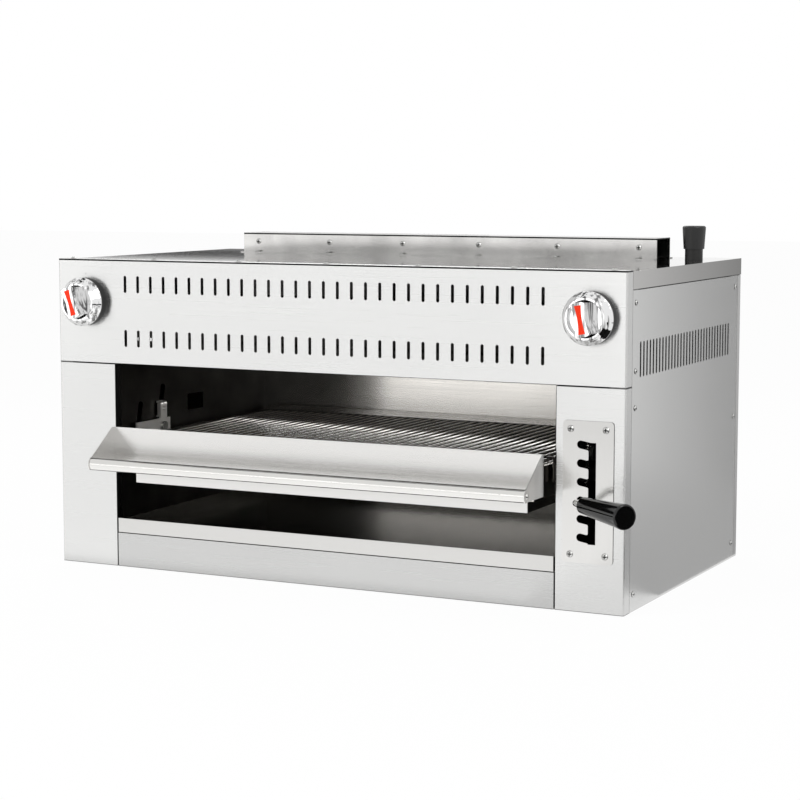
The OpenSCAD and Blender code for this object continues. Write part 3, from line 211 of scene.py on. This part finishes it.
board("board_right_side", (0.81, 0.95, 0.6), (0.38, 1.2), TO_FRONT, "909090", "FFFFFF")
board("board_right_floor", (1.03, 0.425, 0.001), (1.14, 1.05), UP, "BCBCBC")
board("board_front_floor", (-1.6, -1.83, 0.001), (3.8, 3.1), UP, "FFFFFF", "D6D6D6", along=1,
    strength=1.3)
# This dark board on the floor by the base stands for the floor's shade there, as the bare steel
# mirrors it: a painted shadow.
board("shadow_board_near_floor", (0.8, -0.33, 0.001), (0.4, 0.44), UP, "181818")
board("board_far_floor", (1.7, -0.8, 0.001), (1.1, 0.7), UP, "101010")
board("board_overhead", (-0.82, 0.03, 2.0), (1.1, 0.36), DOWN, "1E1E1E")
board("board_front", (-1.6, -3.4, 0.6), (3.6, 1.0), TO_BACK, "FFFFFF", strength=1.9)
board("board_left_rear", (-0.95, 1.001, 0.25), (1.3, 0.494), TO_FRONT, "9A9A9A")
board("rail_left_rear", (-0.95, 1.0, 0.508), (1.3, 0.022), TO_FRONT, "0A0A0A")
for band_x, width, tone, far_tone in (
        (-2.45, 0.3, "D0D0D0", "8A8A8A"), (-2.1, 0.4, "4A4A4A", "6C6C6C"),
        (-1.75, 0.3, "F0F0F0", "A0A0A0"), (-1.4, 0.4, "4A4A4A", "8C8C8C"),
        (-1.0, 0.4, "B0B0B0", "606060")):
    board("board_front_band", (band_x, BAND_Y, BAND_Z), (width, BAND_HEIGHT), TO_BACK, tone,
        far_tone)


def soft_box(name, place, target, size, power, mirrored=True, only=()):
    """A rectangular lamp behind a diffuser. Metal can be kept from mirroring its shape, and
    its barn doors can keep it to some CAD nodes."""
    data = bpy.data.lights.new(name, "AREA")
    data.shape = "RECTANGLE"
    data.size, data.size_y = size
    data.energy = power
    lamp = bpy.data.objects.new(name, data)
    lamp.location = place
    lamp.rotation_euler = (Vector(place) - Vector(target)).to_track_quat("Z", "Y").to_euler()
    lamp.visible_camera = False
    lamp.visible_glossy = mirrored
    bpy.context.scene.collection.objects.link(lamp)
    if only:
        lit_nodes = bpy.data.collections.new(name)
        for node in only:
            lit_nodes.objects.link(nodes[node])
        lamp.light_linking.receiver_collection = lit_nodes


soft_box("soft_box", (-1.6, -2.6, 2.6), (0, 0, 0.25), (2.0, 1.4), power=55, mirrored=False)
soft_box("strip_light", (2.2, -1.0, 2.0), (0.3, 0, 0.3), (0.6, 1.8), power=16)
soft_box("edge_light", (-1.1, 1.6, 1.7), (0.3, -0.2, 0.3), (1.2, 0.25), power=7)
soft_box("cavity_light", (-1.35, -2.8, 0.3), (0.1, 0.2, 0.25), (0.75, 0.9), power=4.5,
    only=("inner_back_wall", "rack_frame", "hangers", "grid"))
soft_box("grid_light", (0.0, 0.186, 0.29), (0.0, -0.1, 0.19), (0.66, 0.012), power=0.26,
    only=("rack_frame", "hangers", "grid"))


# ---------------------------------------------------------------------------
# Outer skins
# Austenitic stainless sheet, 1.5 mm, sheared and folded, then rubbed with a belt so that
# fine lines run the length of each blank. It mirrors the studio softly. The seams between the
# skins carry painted shade, and the feet of the columns and kick panel a painted contact shadow.
# ---------------------------------------------------------------------------

ALONG_X, ALONG_Y, ALONG_Z = 0, 1, 2
BELT_LINE_MM = 1.6
BELT_RUN_MM = 260
BELT_DEPTH = 0.00008
BELT_GLOSS = 0.02
NOISE_LOW, NOISE_HIGH = 0.3, 0.7  # most of a noise texture's values lie between these
SEAM = 0.0014
TOP_SEAM = SEAM * 1.6
DOOR_SEAM = SEAM * 2
# the tone of the painted shade in the seams and of the painted shadows along edges
SEAM_SHADE_TONE = "1C1C1C"


def dress(material, *names):
    """Gives CAD nodes this material, in the slots that they have."""
    for name in names:
        for place in nodes[name].material_slots:
            place.material = material


def stain(material, tone, amount):
    """Lays another tone over a finish's own, by an amount from 0 to 1."""
    tree = material.node_tree
    colour = tree.nodes["Principled BSDF"].inputs["Base Color"]
    own = colour.links[0].from_socket if colour.is_linked else list(colour.default_value)
    mixed = add(tree, "ShaderNodeMix", {0: amount, 6: own, 7: linear(tone)}, data_type="RGBA")
    tree.links.new(mixed.outputs[2], colour)


def brushed_stainless(name, tone, along, roughness=0.3, marks=0.05, cloud=0.03, drift_mm=290,
        spread=0.8):
    """Belt-rubbed stainless sheet. The lines are drawn 1.6 mm wide, coarser than real ones,
    so that they show at arm's length. They spread what the sheet mirrors square to their
    run. The sheet's tone drifts a little over its length."""
    material, tree, shader = new_finish(name, {"Metallic": 1.0, "Anisotropic": spread})
    across = [0.0 if axis == along else 1.0 for axis in range(3)]
    square = add(tree, "ShaderNodeCombineXYZ", dict(enumerate(across)))
    tree.links.new(square.outputs[0], shader.inputs["Tangent"])
    place = add(tree, "ShaderNodeTexCoord")
    scale = [1000 / BELT_LINE_MM] * 3  # patterns count per metre, so a size in mm divides 1000
    scale[along] = 1000 / BELT_RUN_MM
    stretch = add(tree, "ShaderNodeMapping", {"Vector": place.outputs["Object"], "Scale": scale})
    lines = add(tree, "ShaderNodeTexNoise", {"Vector": stretch.outputs[0], "Scale": 1.0,
        "Detail": 4.0, "Roughness": 0.6})
    drift = add(tree, "ShaderNodeTexNoise", {"Vector": place.outputs["Object"],
        "Scale": 1000 / drift_mm, "Detail": 2.0})
    line_tone = add(tree, "ShaderNodeMapRange", {"Value": lines.outputs[0],
        "From Min": NOISE_LOW, "From Max": NOISE_HIGH, "To Min": 1 - marks, "To Max": 1.0})
    drift_tone = add(tree, "ShaderNodeMapRange", {"Value": drift.outputs[0],
        "From Min": NOISE_LOW, "From Max": NOISE_HIGH, "To Min": 1 - cloud, "To Max": 1.0})
    both = add(tree, "ShaderNodeMath", {0: line_tone.outputs[0], 1: drift_tone.outputs[0]},
        operation="MULTIPLY")
    colour = add(tree, "ShaderNodeVectorMath", {0: linear(tone)[:3], "Scale": both.outputs[0]},
        operation="SCALE")
    tree.links.new(colour.outputs[0], shader.inputs["Base Color"])
    rubbed = add(tree, "ShaderNodeMapRange", {"Value": lines.outputs[0],
        "From Min": NOISE_LOW, "From Max": NOISE_HIGH, "To Min": roughness + BELT_GLOSS,
        "To Max": roughness - BELT_GLOSS})
    tree.links.new(rubbed.outputs[0], shader.inputs["Roughness"])
    relief = add(tree, "ShaderNodeBump", {"Height": lines.outputs[0], "Strength": 0.01,
        "Distance": BELT_DEPTH})
    tree.links.new(relief.outputs[0], shader.inputs["Normal"])
    return material


def darken(material, tone, *bands):
    """Darkens narrow bands of a sheet, given as (axis, place, width), with painted shade: in the
    seams, where the sheet turns into a gap, and along edges where a shadow or a dark reflection
    falls."""
    tree = material.node_tree
    place = add(tree, "ShaderNodeTexCoord")
    parts = add(tree, "ShaderNodeSeparateXYZ", {0: place.outputs["Object"]})
    inside = 0.0
    for axis, middle, width in bands:
        here = add(tree, "ShaderNodeMath", {0: parts.outputs[axis], 1: middle, 2: width / 2},
            operation="COMPARE")
        inside = add(tree, "ShaderNodeMath", {0: here.outputs[0], 1: inside},
            operation="MAXIMUM").outputs[0]
    stain(material, tone, inside)


panel_low, panel_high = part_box("control_panel")
column_low, column_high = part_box("column_right")
kick_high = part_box("kick_panel")[1]
# The kick panel is the same sheet as the front, given a darker tone (BEBEBD against D4D4D3):
# painted shade, low on the front of the base.
panel_steel, column_steel, shaded_kick_steel = (
    brushed_stainless(name, tone, ALONG_X, roughness=0.26, marks=0.015) for name, tone in (
        ("brushed stainless front", "D4D4D3"), ("brushed stainless column", "D2D2D1"),
        ("brushed stainless kick panel", "BEBEBD")))
side_steel = brushed_stainless("brushed stainless side", "D4D4D3", ALONG_Y, roughness=0.24,
    marks=0.015)
back_steel = brushed_stainless("brushed stainless back", "D2D2D1", ALONG_X)
# Painted shade along the seams between the skins, and a painted contact shadow where the columns
# and the kick panel meet the floor (Z = 0).
darken(panel_steel, SEAM_SHADE_TONE, (ALONG_Z, panel_high.z - SEAM, TOP_SEAM),
    (ALONG_Z, panel_low.z, SEAM))
darken(column_steel, SEAM_SHADE_TONE, (ALONG_Z, column_high.z, SEAM), (ALONG_Z, 0.0, SEAM),
    (ALONG_X, column_low.x, DOOR_SEAM), (ALONG_X, -column_low.x, DOOR_SEAM))
darken(shaded_kick_steel, SEAM_SHADE_TONE, (ALONG_Z, kick_high.z, SEAM), (ALONG_Z, 0.0, SEAM))
dress(panel_steel, "control_panel")
dress(column_steel, "column_left", "column_right")
dress(shaded_kick_steel, "kick_panel")
dress(side_steel, "side_panel_left", "side_panel_right")
dress(back_steel, "back_panel")


# ---------------------------------------------------------------------------
# Base pan, corner posts, flue duct and burner boxes
# Aluminised steel, hot dipped: duller and greyer than the skins, with the faint blotches
# of the coating. It is folded. What is near the burners and seen through the panel's slots
# is toned dark: heat discolouring, and painted shade for the dark behind the slots.
# ---------------------------------------------------------------------------

BLOTCH_MM = 9
BLOTCH_DARK, BLOTCH_BRIGHT = 0.9, 1.06


def aluminised_steel(name, tone, roughness):
    """Hot-dipped sheet, with a mottle about 9 mm across from the coating's crystals."""
    material, tree, shader = new_finish(name, {"Metallic": 1.0, "Roughness": roughness})
    place = add(tree, "ShaderNodeTexCoord")
    crystals = add(tree, "ShaderNodeTexVoronoi", {"Vector": place.outputs["Object"],
        "Scale": 1000 / BLOTCH_MM})
    mottle = add(tree, "ShaderNodeMapRange", {"Value": crystals.outputs["Distance"],
        "To Min": BLOTCH_DARK, "To Max": BLOTCH_BRIGHT})
    colour = add(tree, "ShaderNodeVectorMath", {0: linear(tone)[:3],
        "Scale": mottle.outputs[0]}, operation="SCALE")
    tree.links.new(colour.outputs[0], shader.inputs["Base Color"])
    return material


frame_steel = aluminised_steel("aluminised steel", "B4B4B2", 0.45)
# This dark tone is heat discolouring and also painted shade: it keeps the inside seen through the
# control panel's slots dark.
heat_and_shade_steel = aluminised_steel("heat-darkened and shade-painted aluminised steel", "5E5C59", 0.55)
dress(frame_steel, "base_pan", "corner_posts", "flue_duct")
dress(heat_and_shade_steel, "panel_stiffener", "burner_frame", "burner_left", "burner_right")


# ---------------------------------------------------------------------------
# Top cover and flue riser
# The cover is the same sheet with a brighter, flatter mill finish, and the riser is folded
# from a thinner blank. Both stand over the burners, so they have a faint warm cast.
# ---------------------------------------------------------------------------

cover_steel = brushed_stainless("bright stainless cover", "C2C1BF", ALONG_X, roughness=0.06,
    marks=0.04, cloud=0.06, spread=0.0)
riser_steel = brushed_stainless("folded stainless riser", "BEBDBB", ALONG_Z, roughness=0.16,
    marks=0.04, cloud=0.25, drift_mm=70, spread=0.5)
# Painted shade along the cover's lower edge and along the riser's top seam.
darken(cover_steel, SEAM_SHADE_TONE, (ALONG_Z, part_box("top_cover")[0].z, SEAM))
darken(riser_steel, SEAM_SHADE_TONE, (ALONG_Z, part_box("flue_riser")[1].z - SEAM, TOP_SEAM))
dress(cover_steel, "top_cover")
dress(riser_steel, "flue_riser")


# ---------------------------------------------------------------------------
# Cavity liners and crumb tray
# Thin stainless, 1.2 mm, that takes the burners' heat: duller, browner and darker than the
# skins, with soot in soft clouds, most of it on the side walls. The back wall's tone is brighter
# than the skins' instead: painted light, for what reaches it through the opening.
# The tray's front stays clean.
# ---------------------------------------------------------------------------

SOOT_MM = 70
SOOT_LOW, SOOT_HIGH = 0.35, 0.7
SOOT_THINNEST = 0.4
HEAT_EDGE = 0.0004  # half the width of the line where the clean front ends
LINER = 0.0012


def heated_steel(name, tone, soot_tone, soot, roughness, along=ALONG_Y, clean_tone=None,
        clean_to=0.0):
    """Stainless sheet that heat has dulled, with soot in clouds about 70 mm across. In front
    of the place clean_to, in Y, it can keep the colour that the mill gave it."""
    material = brushed_stainless(name, tone, along, roughness, marks=0.1, cloud=0.1)
    tree = material.node_tree
    place = add(tree, "ShaderNodeTexCoord")
    haze = add(tree, "ShaderNodeTexNoise", {"Vector": place.outputs["Object"],
        "Scale": 1000 / SOOT_MM, "Detail": 4.0})
    cover = add(tree, "ShaderNodeMapRange", {"Value": haze.outputs[0], "From Min": SOOT_LOW,
        "From Max": SOOT_HIGH, "To Min": soot * SOOT_THINNEST, "To Max": soot})
    stain(material, soot_tone, cover.outputs[0])
    if clean_tone:
        parts = add(tree, "ShaderNodeSeparateXYZ", {0: place.outputs["Object"]})
        ahead = add(tree, "ShaderNodeMapRange", {"Value": parts.outputs[ALONG_Y],
            "From Min": clean_to - HEAT_EDGE, "From Max": clean_to + HEAT_EDGE,
            "To Min": 1.0, "To Max": 0.0})
        stain(material, clean_tone, ahead.outputs[0])
    return material


wall_steel = heated_steel("sooted stainless liner", "4C4A46", "141311", soot=0.8, roughness=0.36)
# The back wall's tone, F0EDE8, is brighter than the skins': painted light, for the light that
# reaches it through the opening.
lit_rear_steel = heated_steel("heated stainless back wall", "F0EDE8", "A8A299", soot=0.08,
    roughness=0.25, along=ALONG_X)
tray_steel = heated_steel("stainless crumb tray", "82807B", "4A4844", soot=0.35,
    roughness=0.16, along=ALONG_X, clean_tone="C7C6C4",
    clean_to=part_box("crumb_tray")[0].y + LINER)
dress(wall_steel, "inner_wall_left", "inner_wall_right")
dress(lit_rear_steel, "inner_back_wall")
dress(tray_steel, "cavity_floor", "crumb_tray")


# ---------------------------------------------------------------------------
# Burner tiles and screens
# Porous ceramic tile, moulded with a grid of small holes, and the bare steel screen under
# it that glows and guards it. The screen is scaled brown by the heat.
# ---------------------------------------------------------------------------

TILE_HOLE_PITCH_MM = 4.5
HOLE_EDGE_IN, HOLE_EDGE_OUT = 0.22, 0.3
HOLE_DEPTH = 0.0006


def perforated_ceramic(name, tone, hole_tone):
    """Cordierite tile with a hole every 4.5 mm. Real ones are finer and would not show."""
    material, tree, shader = new_finish(name, {"Roughness": 0.85})
    place = add(tree, "ShaderNodeTexCoord")
    holes = add(tree, "ShaderNodeTexVoronoi", {"Vector": place.outputs["Object"],
        "Scale": 1000 / TILE_HOLE_PITCH_MM, "Randomness": 0.0})
    edge = add(tree, "ShaderNodeMapRange", {"Value": holes.outputs["Distance"],
        "From Min": HOLE_EDGE_IN, "From Max": HOLE_EDGE_OUT})
    mixed = add(tree, "ShaderNodeMix", {0: edge.outputs[0], 6: linear(hole_tone),
        7: linear(tone)}, data_type="RGBA")
    tree.links.new(mixed.outputs[2], shader.inputs["Base Color"])
    relief = add(tree, "ShaderNodeBump", {"Height": edge.outputs[0], "Strength": 0.6,
        "Distance": HOLE_DEPTH})
    tree.links.new(relief.outputs[0], shader.inputs["Normal"])
    return material


dress(perforated_ceramic("cordierite burner tile", "D9BFA0", "5A4636"), "burner_tiles")
dress(heated_steel("scaled steel screen", "5B4636", "2A211B", soot=0.6, roughness=0.6),
    "radiant_screens")


# ---------------------------------------------------------------------------
# Gas train
# Grey iron mixer tubes, black steel pipe with mill scale, turned brass valves and jets,
# and a bright steel pilot tube.
# ---------------------------------------------------------------------------

CASTING_GRAIN_MM = 1.5
GRAIN_DEPTH = 0.0003
GRAIN_GLOSS = 0.1


def coarse_metal(name, tone, roughness, metallic=1.0, grain=0.4):
    """Cast or scaled metal, with a grain of about 1.5 mm in its relief and its gloss."""
    material, tree, shader = new_finish(name, {"Base Color": linear(tone),
        "Metallic": metallic})
    place = add(tree, "ShaderNodeTexCoord")
    lumps = add(tree, "ShaderNodeTexNoise", {"Vector": place.outputs["Object"],
        "Scale": 1000 / CASTING_GRAIN_MM, "Detail": 3.0})
    worn = add(tree, "ShaderNodeMapRange", {"Value": lumps.outputs[0],
        "To Min": roughness - GRAIN_GLOSS, "To Max": roughness + GRAIN_GLOSS})
    tree.links.new(worn.outputs[0], shader.inputs["Roughness"])
    relief = add(tree, "ShaderNodeBump", {"Height": lumps.outputs[0], "Strength": grain,
        "Distance": GRAIN_DEPTH})
    tree.links.new(relief.outputs[0], shader.inputs["Normal"])
    return material


dress(coarse_metal("grey cast iron", "4A4A49", 0.6), "mixer_tubes")
dress(coarse_metal("black steel pipe", "1E1E1D", 0.42, metallic=0.3, grain=0.2),
    "gas_manifold", "gas_inlet_pipe")
brass = coarse_metal("turned brass", "C9A65C", 0.3, grain=0.05)
dress(brass, "gas_valve_left", "gas_valve_right", "orifice_lines", "valve_stem_left",
    "valve_stem_right")
dress(coarse_metal("bright steel tube", "BDBDBB", 0.25, grain=0.05), "pilot_burners")


# ---------------------------------------------------------------------------
# Inlet protector
# A soft moulded cap, black polyethylene, pushed over the open end of the gas pipe.
# Moulding leaves it satin, with a faint orange-peel.
# ---------------------------------------------------------------------------

PEEL_MM = 2.38
PEEL_DEPTH = 0.0002


def moulded_plastic(name, tone, roughness, peel=0.15):
    """Injection-moulded plastic: an even colour, and a faint orange-peel in its gloss with
    lumps of about 2.4 mm."""
    material, tree, shader = new_finish(name, {"Base Color": linear(tone),
        "Roughness": roughness})
    place = add(tree, "ShaderNodeTexCoord")
    skin = add(tree, "ShaderNodeTexNoise", {"Vector": place.outputs["Object"],
        "Scale": 1000 / PEEL_MM, "Detail": 2.0})
    relief = add(tree, "ShaderNodeBump", {"Height": skin.outputs[0], "Strength": peel,
        "Distance": PEEL_DEPTH})
    tree.links.new(relief.outputs[0], shader.inputs["Normal"])
    return material


dress(moulded_plastic("black polyethylene", "151515", 0.38), "inlet_cap")


# ---------------------------------------------------------------------------
# Screws
# Pan-head stainless screws with a cross recess, turned and bright. They hold the skins, the
# gate plate, the riser and the top cover. The recess and the rim are darkened with painted shade.
# ---------------------------------------------------------------------------

RING_STEPS = 32
MERGE = 1e-6
SHANK_R = 0.002
UNDERCUT = 0.0004

# Shares of a head's radius, and for the recess's depth of its height.
WIDEST = 0.98
DOME_SHARES = (0.93, 0.84, 0.74, 0.62, 0.5, 0.38, 0.26, 0.14)
RECESS_REACH, RECESS_ARM, RECESS_DEPTH = 0.52, 0.13, 0.55
# Beyond this share of the radius, a head's faces take the painted shade of its rim.
SHADED_RIM = 0.9


def plain_metal(name, tone, roughness):
    """Turned, drawn or plated metal: even, with the grain of a casting hardly to be seen."""
    return coarse_metal(name, tone, roughness, grain=0.06)


def new_piece(name, bm, material, body, replaced, smooth=True):
    """Makes an object of a mesh that is already in the frame's axes, rides it on a body, and
    puts it in the place of CAD nodes."""
    mesh = bpy.data.meshes.new(name)
    bm.to_mesh(mesh)
    bm.free()
    if smooth:
        mesh.shade_smooth()
    mesh.materials.append(material)
    piece = bpy.data.objects.new(name, mesh)
    bpy.context.scene.collection.objects.link(piece)
    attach(piece, body)
    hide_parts(*replaced)
    return piece


def turned(bm, place, profile):
    """Adds a body turned from (radius, height) points, placed by a matrix. The first and the
    last point are on the axis, so it is closed. Gives its corners and its faces."""
    rings, faces = [], []
    for radius, height in profile:
        steps = RING_STEPS if radius else 1
        rings.append([bm.verts.new(place @ Vector((radius * math.cos(2 * math.pi * i / steps),
            radius * math.sin(2 * math.pi * i / steps), height))) for i in range(steps)])
    for low, high in zip(rings, rings[1:]):
        for i in range(RING_STEPS):
            k = (i + 1) % RING_STEPS
            corners = list(dict.fromkeys((low[i % len(low)], low[k % len(low)],
                high[k % len(high)], high[i % len(high)])))
            faces.append(bm.faces.new(corners))
    return [corner for ring in rings for corner in ring], faces


def solids_of(name):
    """The separate solids of a CAD node, each as the sorted list of its corners."""
    bm = bmesh.new()
    bm.from_mesh(nodes[name].data)
    bmesh.ops.remove_doubles(bm, verts=bm.verts, dist=MERGE)
    left = set(bm.verts)
    solids = []
    while left:
        reached = [left.pop()]
        corners = []
        while reached:
            vert = reached.pop()
            corners.append(tuple(vert.co))
            for edge in vert.link_edges:
                other = edge.other_vert(vert)
                if other in left:
                    left.remove(other)
                    reached.append(other)
        solids.append(sorted(corners))
    bm.free()
    return sorted(solids)


def screw_place(corners):
    """Where a screw's head sits, which way it faces, and its radius, height and shank. The
    axis is the one whose size differs from the other two, and the seat is at the widest
    corners. A head without a shank lies on one side of the seat only."""
    low = Vector([min(c[i] for c in corners) for i in range(3)])
    high = Vector([max(c[i] for c in corners) for i in range(3)])
    size = high - low
    axis = max(range(3), key=lambda i: abs(size[i] - size[i - 1]) + abs(size[i] - size[i - 2]))
    radius = size[axis - 1] / 2
    middle = (low + high) / 2
    out = [Vector([0 if i == axis else c[i] - middle[i] for i in range(3)]) for c in corners]
    rim = [c[axis] for c, arm in zip(corners, out) if arm.length > radius * WIDEST]
    seat = sum(rim) / len(rim)
    below, above = seat - low[axis], high[axis] - seat
    if min(below, above) < MERGE:
        outward = 1 if above > below else -1
    else:
        outward = 1 if above < below else -1
    height, shank = (above, below) if outward > 0 else (below, above)
    middle[axis] = seat
    facing = Vector([outward if i == axis else 0 for i in range(3)])
    return middle, facing, radius, height, shank


def screw_heads(piece_name, node):
    """Pan heads with a cross recess, and their shanks, one for each solid of a CAD node."""
    bm = bmesh.new()
    for solid in solids_of(node):
        seat, facing, radius, height, shank = screw_place(solid)
        place = Matrix.Translation(seat) @ facing.to_track_quat("Z", "Y").to_matrix().to_4x4()
        back = place.inverted()
        foot = -max(shank, MERGE)
        dome = (radius ** 2 + height ** 2) / (2 * height)
        profile = [(0, foot), (SHANK_R, foot), (SHANK_R, 0), (radius - UNDERCUT, 0),
            (radius, UNDERCUT)]
        for out in (radius * share for share in DOME_SHARES):
            profile.append((out, height - dome + math.sqrt(dome ** 2 - out ** 2)))
        profile.append((0, height))
        corners, faces = turned(bm, place, profile)
        sunk = set()
        for vert in corners:
            local = back @ vert.co
            out = math.hypot(local.x, local.y)
            arm = min(abs(local.x), abs(local.y))
            if local.z > UNDERCUT and out < radius * RECESS_REACH and arm < radius * RECESS_ARM:
                local.z -= height * RECESS_DEPTH
                vert.co = place @ local
                sunk.add(vert)
        # Faces at the rim and in the recess take the dark material: painted shade.
        for face in faces:
            middle = back @ face.calc_center_median()
            rim = math.hypot(middle.x, middle.y) > radius * SHADED_RIM
            face.material_index = int(rim or any(vert in sunk for vert in face.verts))
    bm.normal_update()
    piece = new_piece(piece_name, bm, screw_steel, nodes[node]["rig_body"], (node,), smooth=False)
    piece.data.materials.append(screw_shade)


screw_steel = plain_metal("bright stainless screw", "D4D4D2", 0.24)
screw_shade = plain_metal("painted shade in the recess and under the rim", "2E2D2B", 0.5)
for piece_name, node in (("gate_screw_heads", "gate_screws"), ("side_screw_heads", "side_screws"),
        ("top_screw_heads", "top_screws")):
    screw_heads(piece_name, node)


# ---------------------------------------------------------------------------
# Gate plate
# Stainless plate, laser cut, with a finer polish than the column behind it. Six notches
# open off its channel. Its cut edges are darkened: oxide from the cut, and painted shadow along
# them.
# ---------------------------------------------------------------------------

EDGE_ON, FACE_ON = 0.4, 0.8  # how far a face's normal points to the front or back

gate_steel = brushed_stainless("polished stainless gate", "D4D3D1", ALONG_Z, roughness=0.16,
    marks=0.02)
tree = gate_steel.node_tree
surface = add(tree, "ShaderNodeNewGeometry")
facing = add(tree, "ShaderNodeSeparateXYZ", {0: surface.outputs["Normal"]})
to_front = add(tree, "ShaderNodeMath", {0: facing.outputs[ALONG_Y]}, operation="ABSOLUTE")
cut = add(tree, "ShaderNodeMapRange", {"Value": to_front.outputs[0], "From Min": EDGE_ON,
    "From Max": FACE_ON, "To Min": 1.0, "To Max": 0.0})
# Faces that point sideways, the plate's cut edges, are darkened: oxide from the cut, and painted
# shadow along the edges.
stain(gate_steel, "3C3A38", cut.outputs[0])
dress(gate_steel, "gate_plate")


# ---------------------------------------------------------------------------
# Lift linkage
# Zinc-plated steel arms, links, studs and shaft, brass bearings, and coiled springs of oiled
# wire. The springs' lower hooks go with the arms, and their coils stay with the casing. Most of
# it is inside the columns, and the hangers show over the grid.

SPRING_SPLIT = 0.196


def spring_ends(name, body, upper):
    """One end of both springs: the coils above the split, or the hooks below it."""
    bm = bmesh.new()
    bm.from_mesh(nodes["lift_springs"].data)
    bmesh.ops.remove_doubles(bm, verts=bm.verts, dist=MERGE)
    cut = bmesh.ops.bisect_plane(bm, geom=bm.verts[:] + bm.edges[:] + bm.faces[:],
        plane_co=(0, 0, SPRING_SPLIT), plane_no=(0, 0, 1), clear_inner=upper,
        clear_outer=not upper)
    rims = [part for part in cut["geom_cut"] if isinstance(part, bmesh.types.BMEdge)]
    bmesh.ops.holes_fill(bm, edges=rims, sides=0)
    bmesh.ops.triangulate(bm, faces=[face for face in bm.faces if len(face.verts) > 4])
    return new_piece(name, bm, spring_wire, body, ("lift_springs",))


dress(plain_metal("zinc-plated steel", "A9A9A6", 0.32), "lift_shaft", "lift_arms", "lever_arm",
    "tie_link_left", "tie_link_right", "wall_studs", "link_pins")
dress(brass, "shaft_bearings")
# The hangers' tone, F0EEEA, is brighter than the skins': painted light, so that they look lit
# over the grid.
dress(plain_metal("bright stainless hanger", "F0EEEA", 0.34), "hangers")
spring_wire = plain_metal("oiled spring wire", "5A5856", 0.35)
spring_ends("lift_spring_hooks", "lift_frame", upper=False)
coils = spring_ends("lift_spring_coils", "casing", upper=True)
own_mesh(coils)


# ---------------------------------------------------------------------------
# Lever
# A bright drawn rod with a bend, and a moulded phenolic grip, black and glossy, that
# widens towards its end.
# ---------------------------------------------------------------------------

dress(plain_metal("bright drawn rod", "D0D0CE", 0.16), "lever_rod")
dress(moulded_plastic("black phenolic", "080808", 0.07, peel=0.02), "lever_grip")


# ---------------------------------------------------------------------------
# Carriage and rack
# Folded stainless rails and frame, darkened by heat, and a grid welded from 6 mm rods that
# the burners have browned. The rods are round, so they spread the light the same all ways.
# The folded front and its round handle tube stay bright.
# ---------------------------------------------------------------------------

TUBE_SHADE_BAND = SEAM * 2.4

rail_steel = heated_steel("heated stainless rail", "66635E", "2E2C2A", soot=0.6, roughness=0.3)
rack_steel = heated_steel("stainless rack frame", "DAD7D2", "8A857E", soot=0.3, roughness=0.24,
    along=ALONG_X)
grid_steel = heated_steel("heat-stained rod", "8E8B86", "2A2826", soot=0.6, roughness=0.14)
grid_steel.node_tree.nodes["Principled BSDF"].inputs["Anisotropic"].default_value = 0.0
front_steel = brushed_stainless("brushed stainless rack front", "D7D6D4", ALONG_X,
    roughness=0.2, marks=0.03)
tube_steel = brushed_stainless("polished stainless tube", "DAD9D6", ALONG_X, roughness=0.14,
    marks=0.01, spread=0.0)
tube_low, tube_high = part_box("handle_tube")
# Painted shadow along the tube's underside, and a painted reflection of dark surroundings along
# its top.
darken(tube_steel, "2A2A29", (ALONG_Z, tube_low.z, TUBE_SHADE_BAND), (ALONG_Z, tube_high.z, SEAM))
dress(rail_steel, "carriage_rails")
dress(rack_steel, "rack_frame")
dress(grid_steel, "grid")
dress(front_steel, "rack_front")
dress(tube_steel, "handle_tube")


# ---------------------------------------------------------------------------
# Drip pan
# A folded stainless pan that hangs in the rack's runners, dark inside from burnt fat. Its
# front stays clean.
# ---------------------------------------------------------------------------

pan_steel = heated_steel("burnt stainless pan", "5C5953", "1A1817", soot=0.7, roughness=0.3,
    along=ALONG_X, clean_tone="D4D3D1", clean_to=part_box("drip_pan")[0].y + LINER)
dress(pan_steel, "drip_pan")


# ---------------------------------------------------------------------------
# Knobs
# Chrome-plated zinc die castings over black phenolic collars, each with a red enamelled
# bar let into its face. The casting leaves ripples under the plate, which bend what it
# mirrors, and faint upright dark streaks follow them: a painted reflection of dark surroundings.
# ---------------------------------------------------------------------------

RIPPLE_MM = 5
RIPPLE_RUN_MM = 40
RIPPLE_DEPTH = 0.001
STREAK_LOW, STREAK_HIGH = 0.52, 0.68

chrome = plain_metal("chrome plate", "E8E8E8", 0.07)
tree = chrome.node_tree
place = add(tree, "ShaderNodeTexCoord")
stretch = add(tree, "ShaderNodeMapping", {"Vector": place.outputs["Object"],
    "Scale": (1000 / RIPPLE_MM, 1000 / RIPPLE_MM, 1000 / RIPPLE_RUN_MM)})
ripple = add(tree, "ShaderNodeTexNoise", {"Vector": stretch.outputs[0], "Scale": 1.0,
    "Detail": 1.0})
relief = add(tree, "ShaderNodeBump", {"Height": ripple.outputs[0], "Strength": 0.5,
    "Distance": RIPPLE_DEPTH})
tree.links.new(relief.outputs[0], tree.nodes["Principled BSDF"].inputs["Normal"])
# Dark upright streaks along the ripples: a painted reflection of dark surroundings.
painted_streaks = add(tree, "ShaderNodeMapRange", {"Value": ripple.outputs[0], "From Min": STREAK_LOW,
    "From Max": STREAK_HIGH})
stain(chrome, "777777", painted_streaks.outputs[0])
enamel = moulded_plastic("red enamel", "F03206", 0.6, peel=0.02)
enamel.node_tree.nodes["Principled BSDF"].inputs["Specular IOR Level"].default_value = 0.2
dress(chrome, "knob_left", "knob_right")
dress(enamel, "knob_inlay_left", "knob_inlay_right")
dress(moulded_plastic("black phenolic collar", "0C0C0C", 0.42, peel=0.05), "knob_bezels")
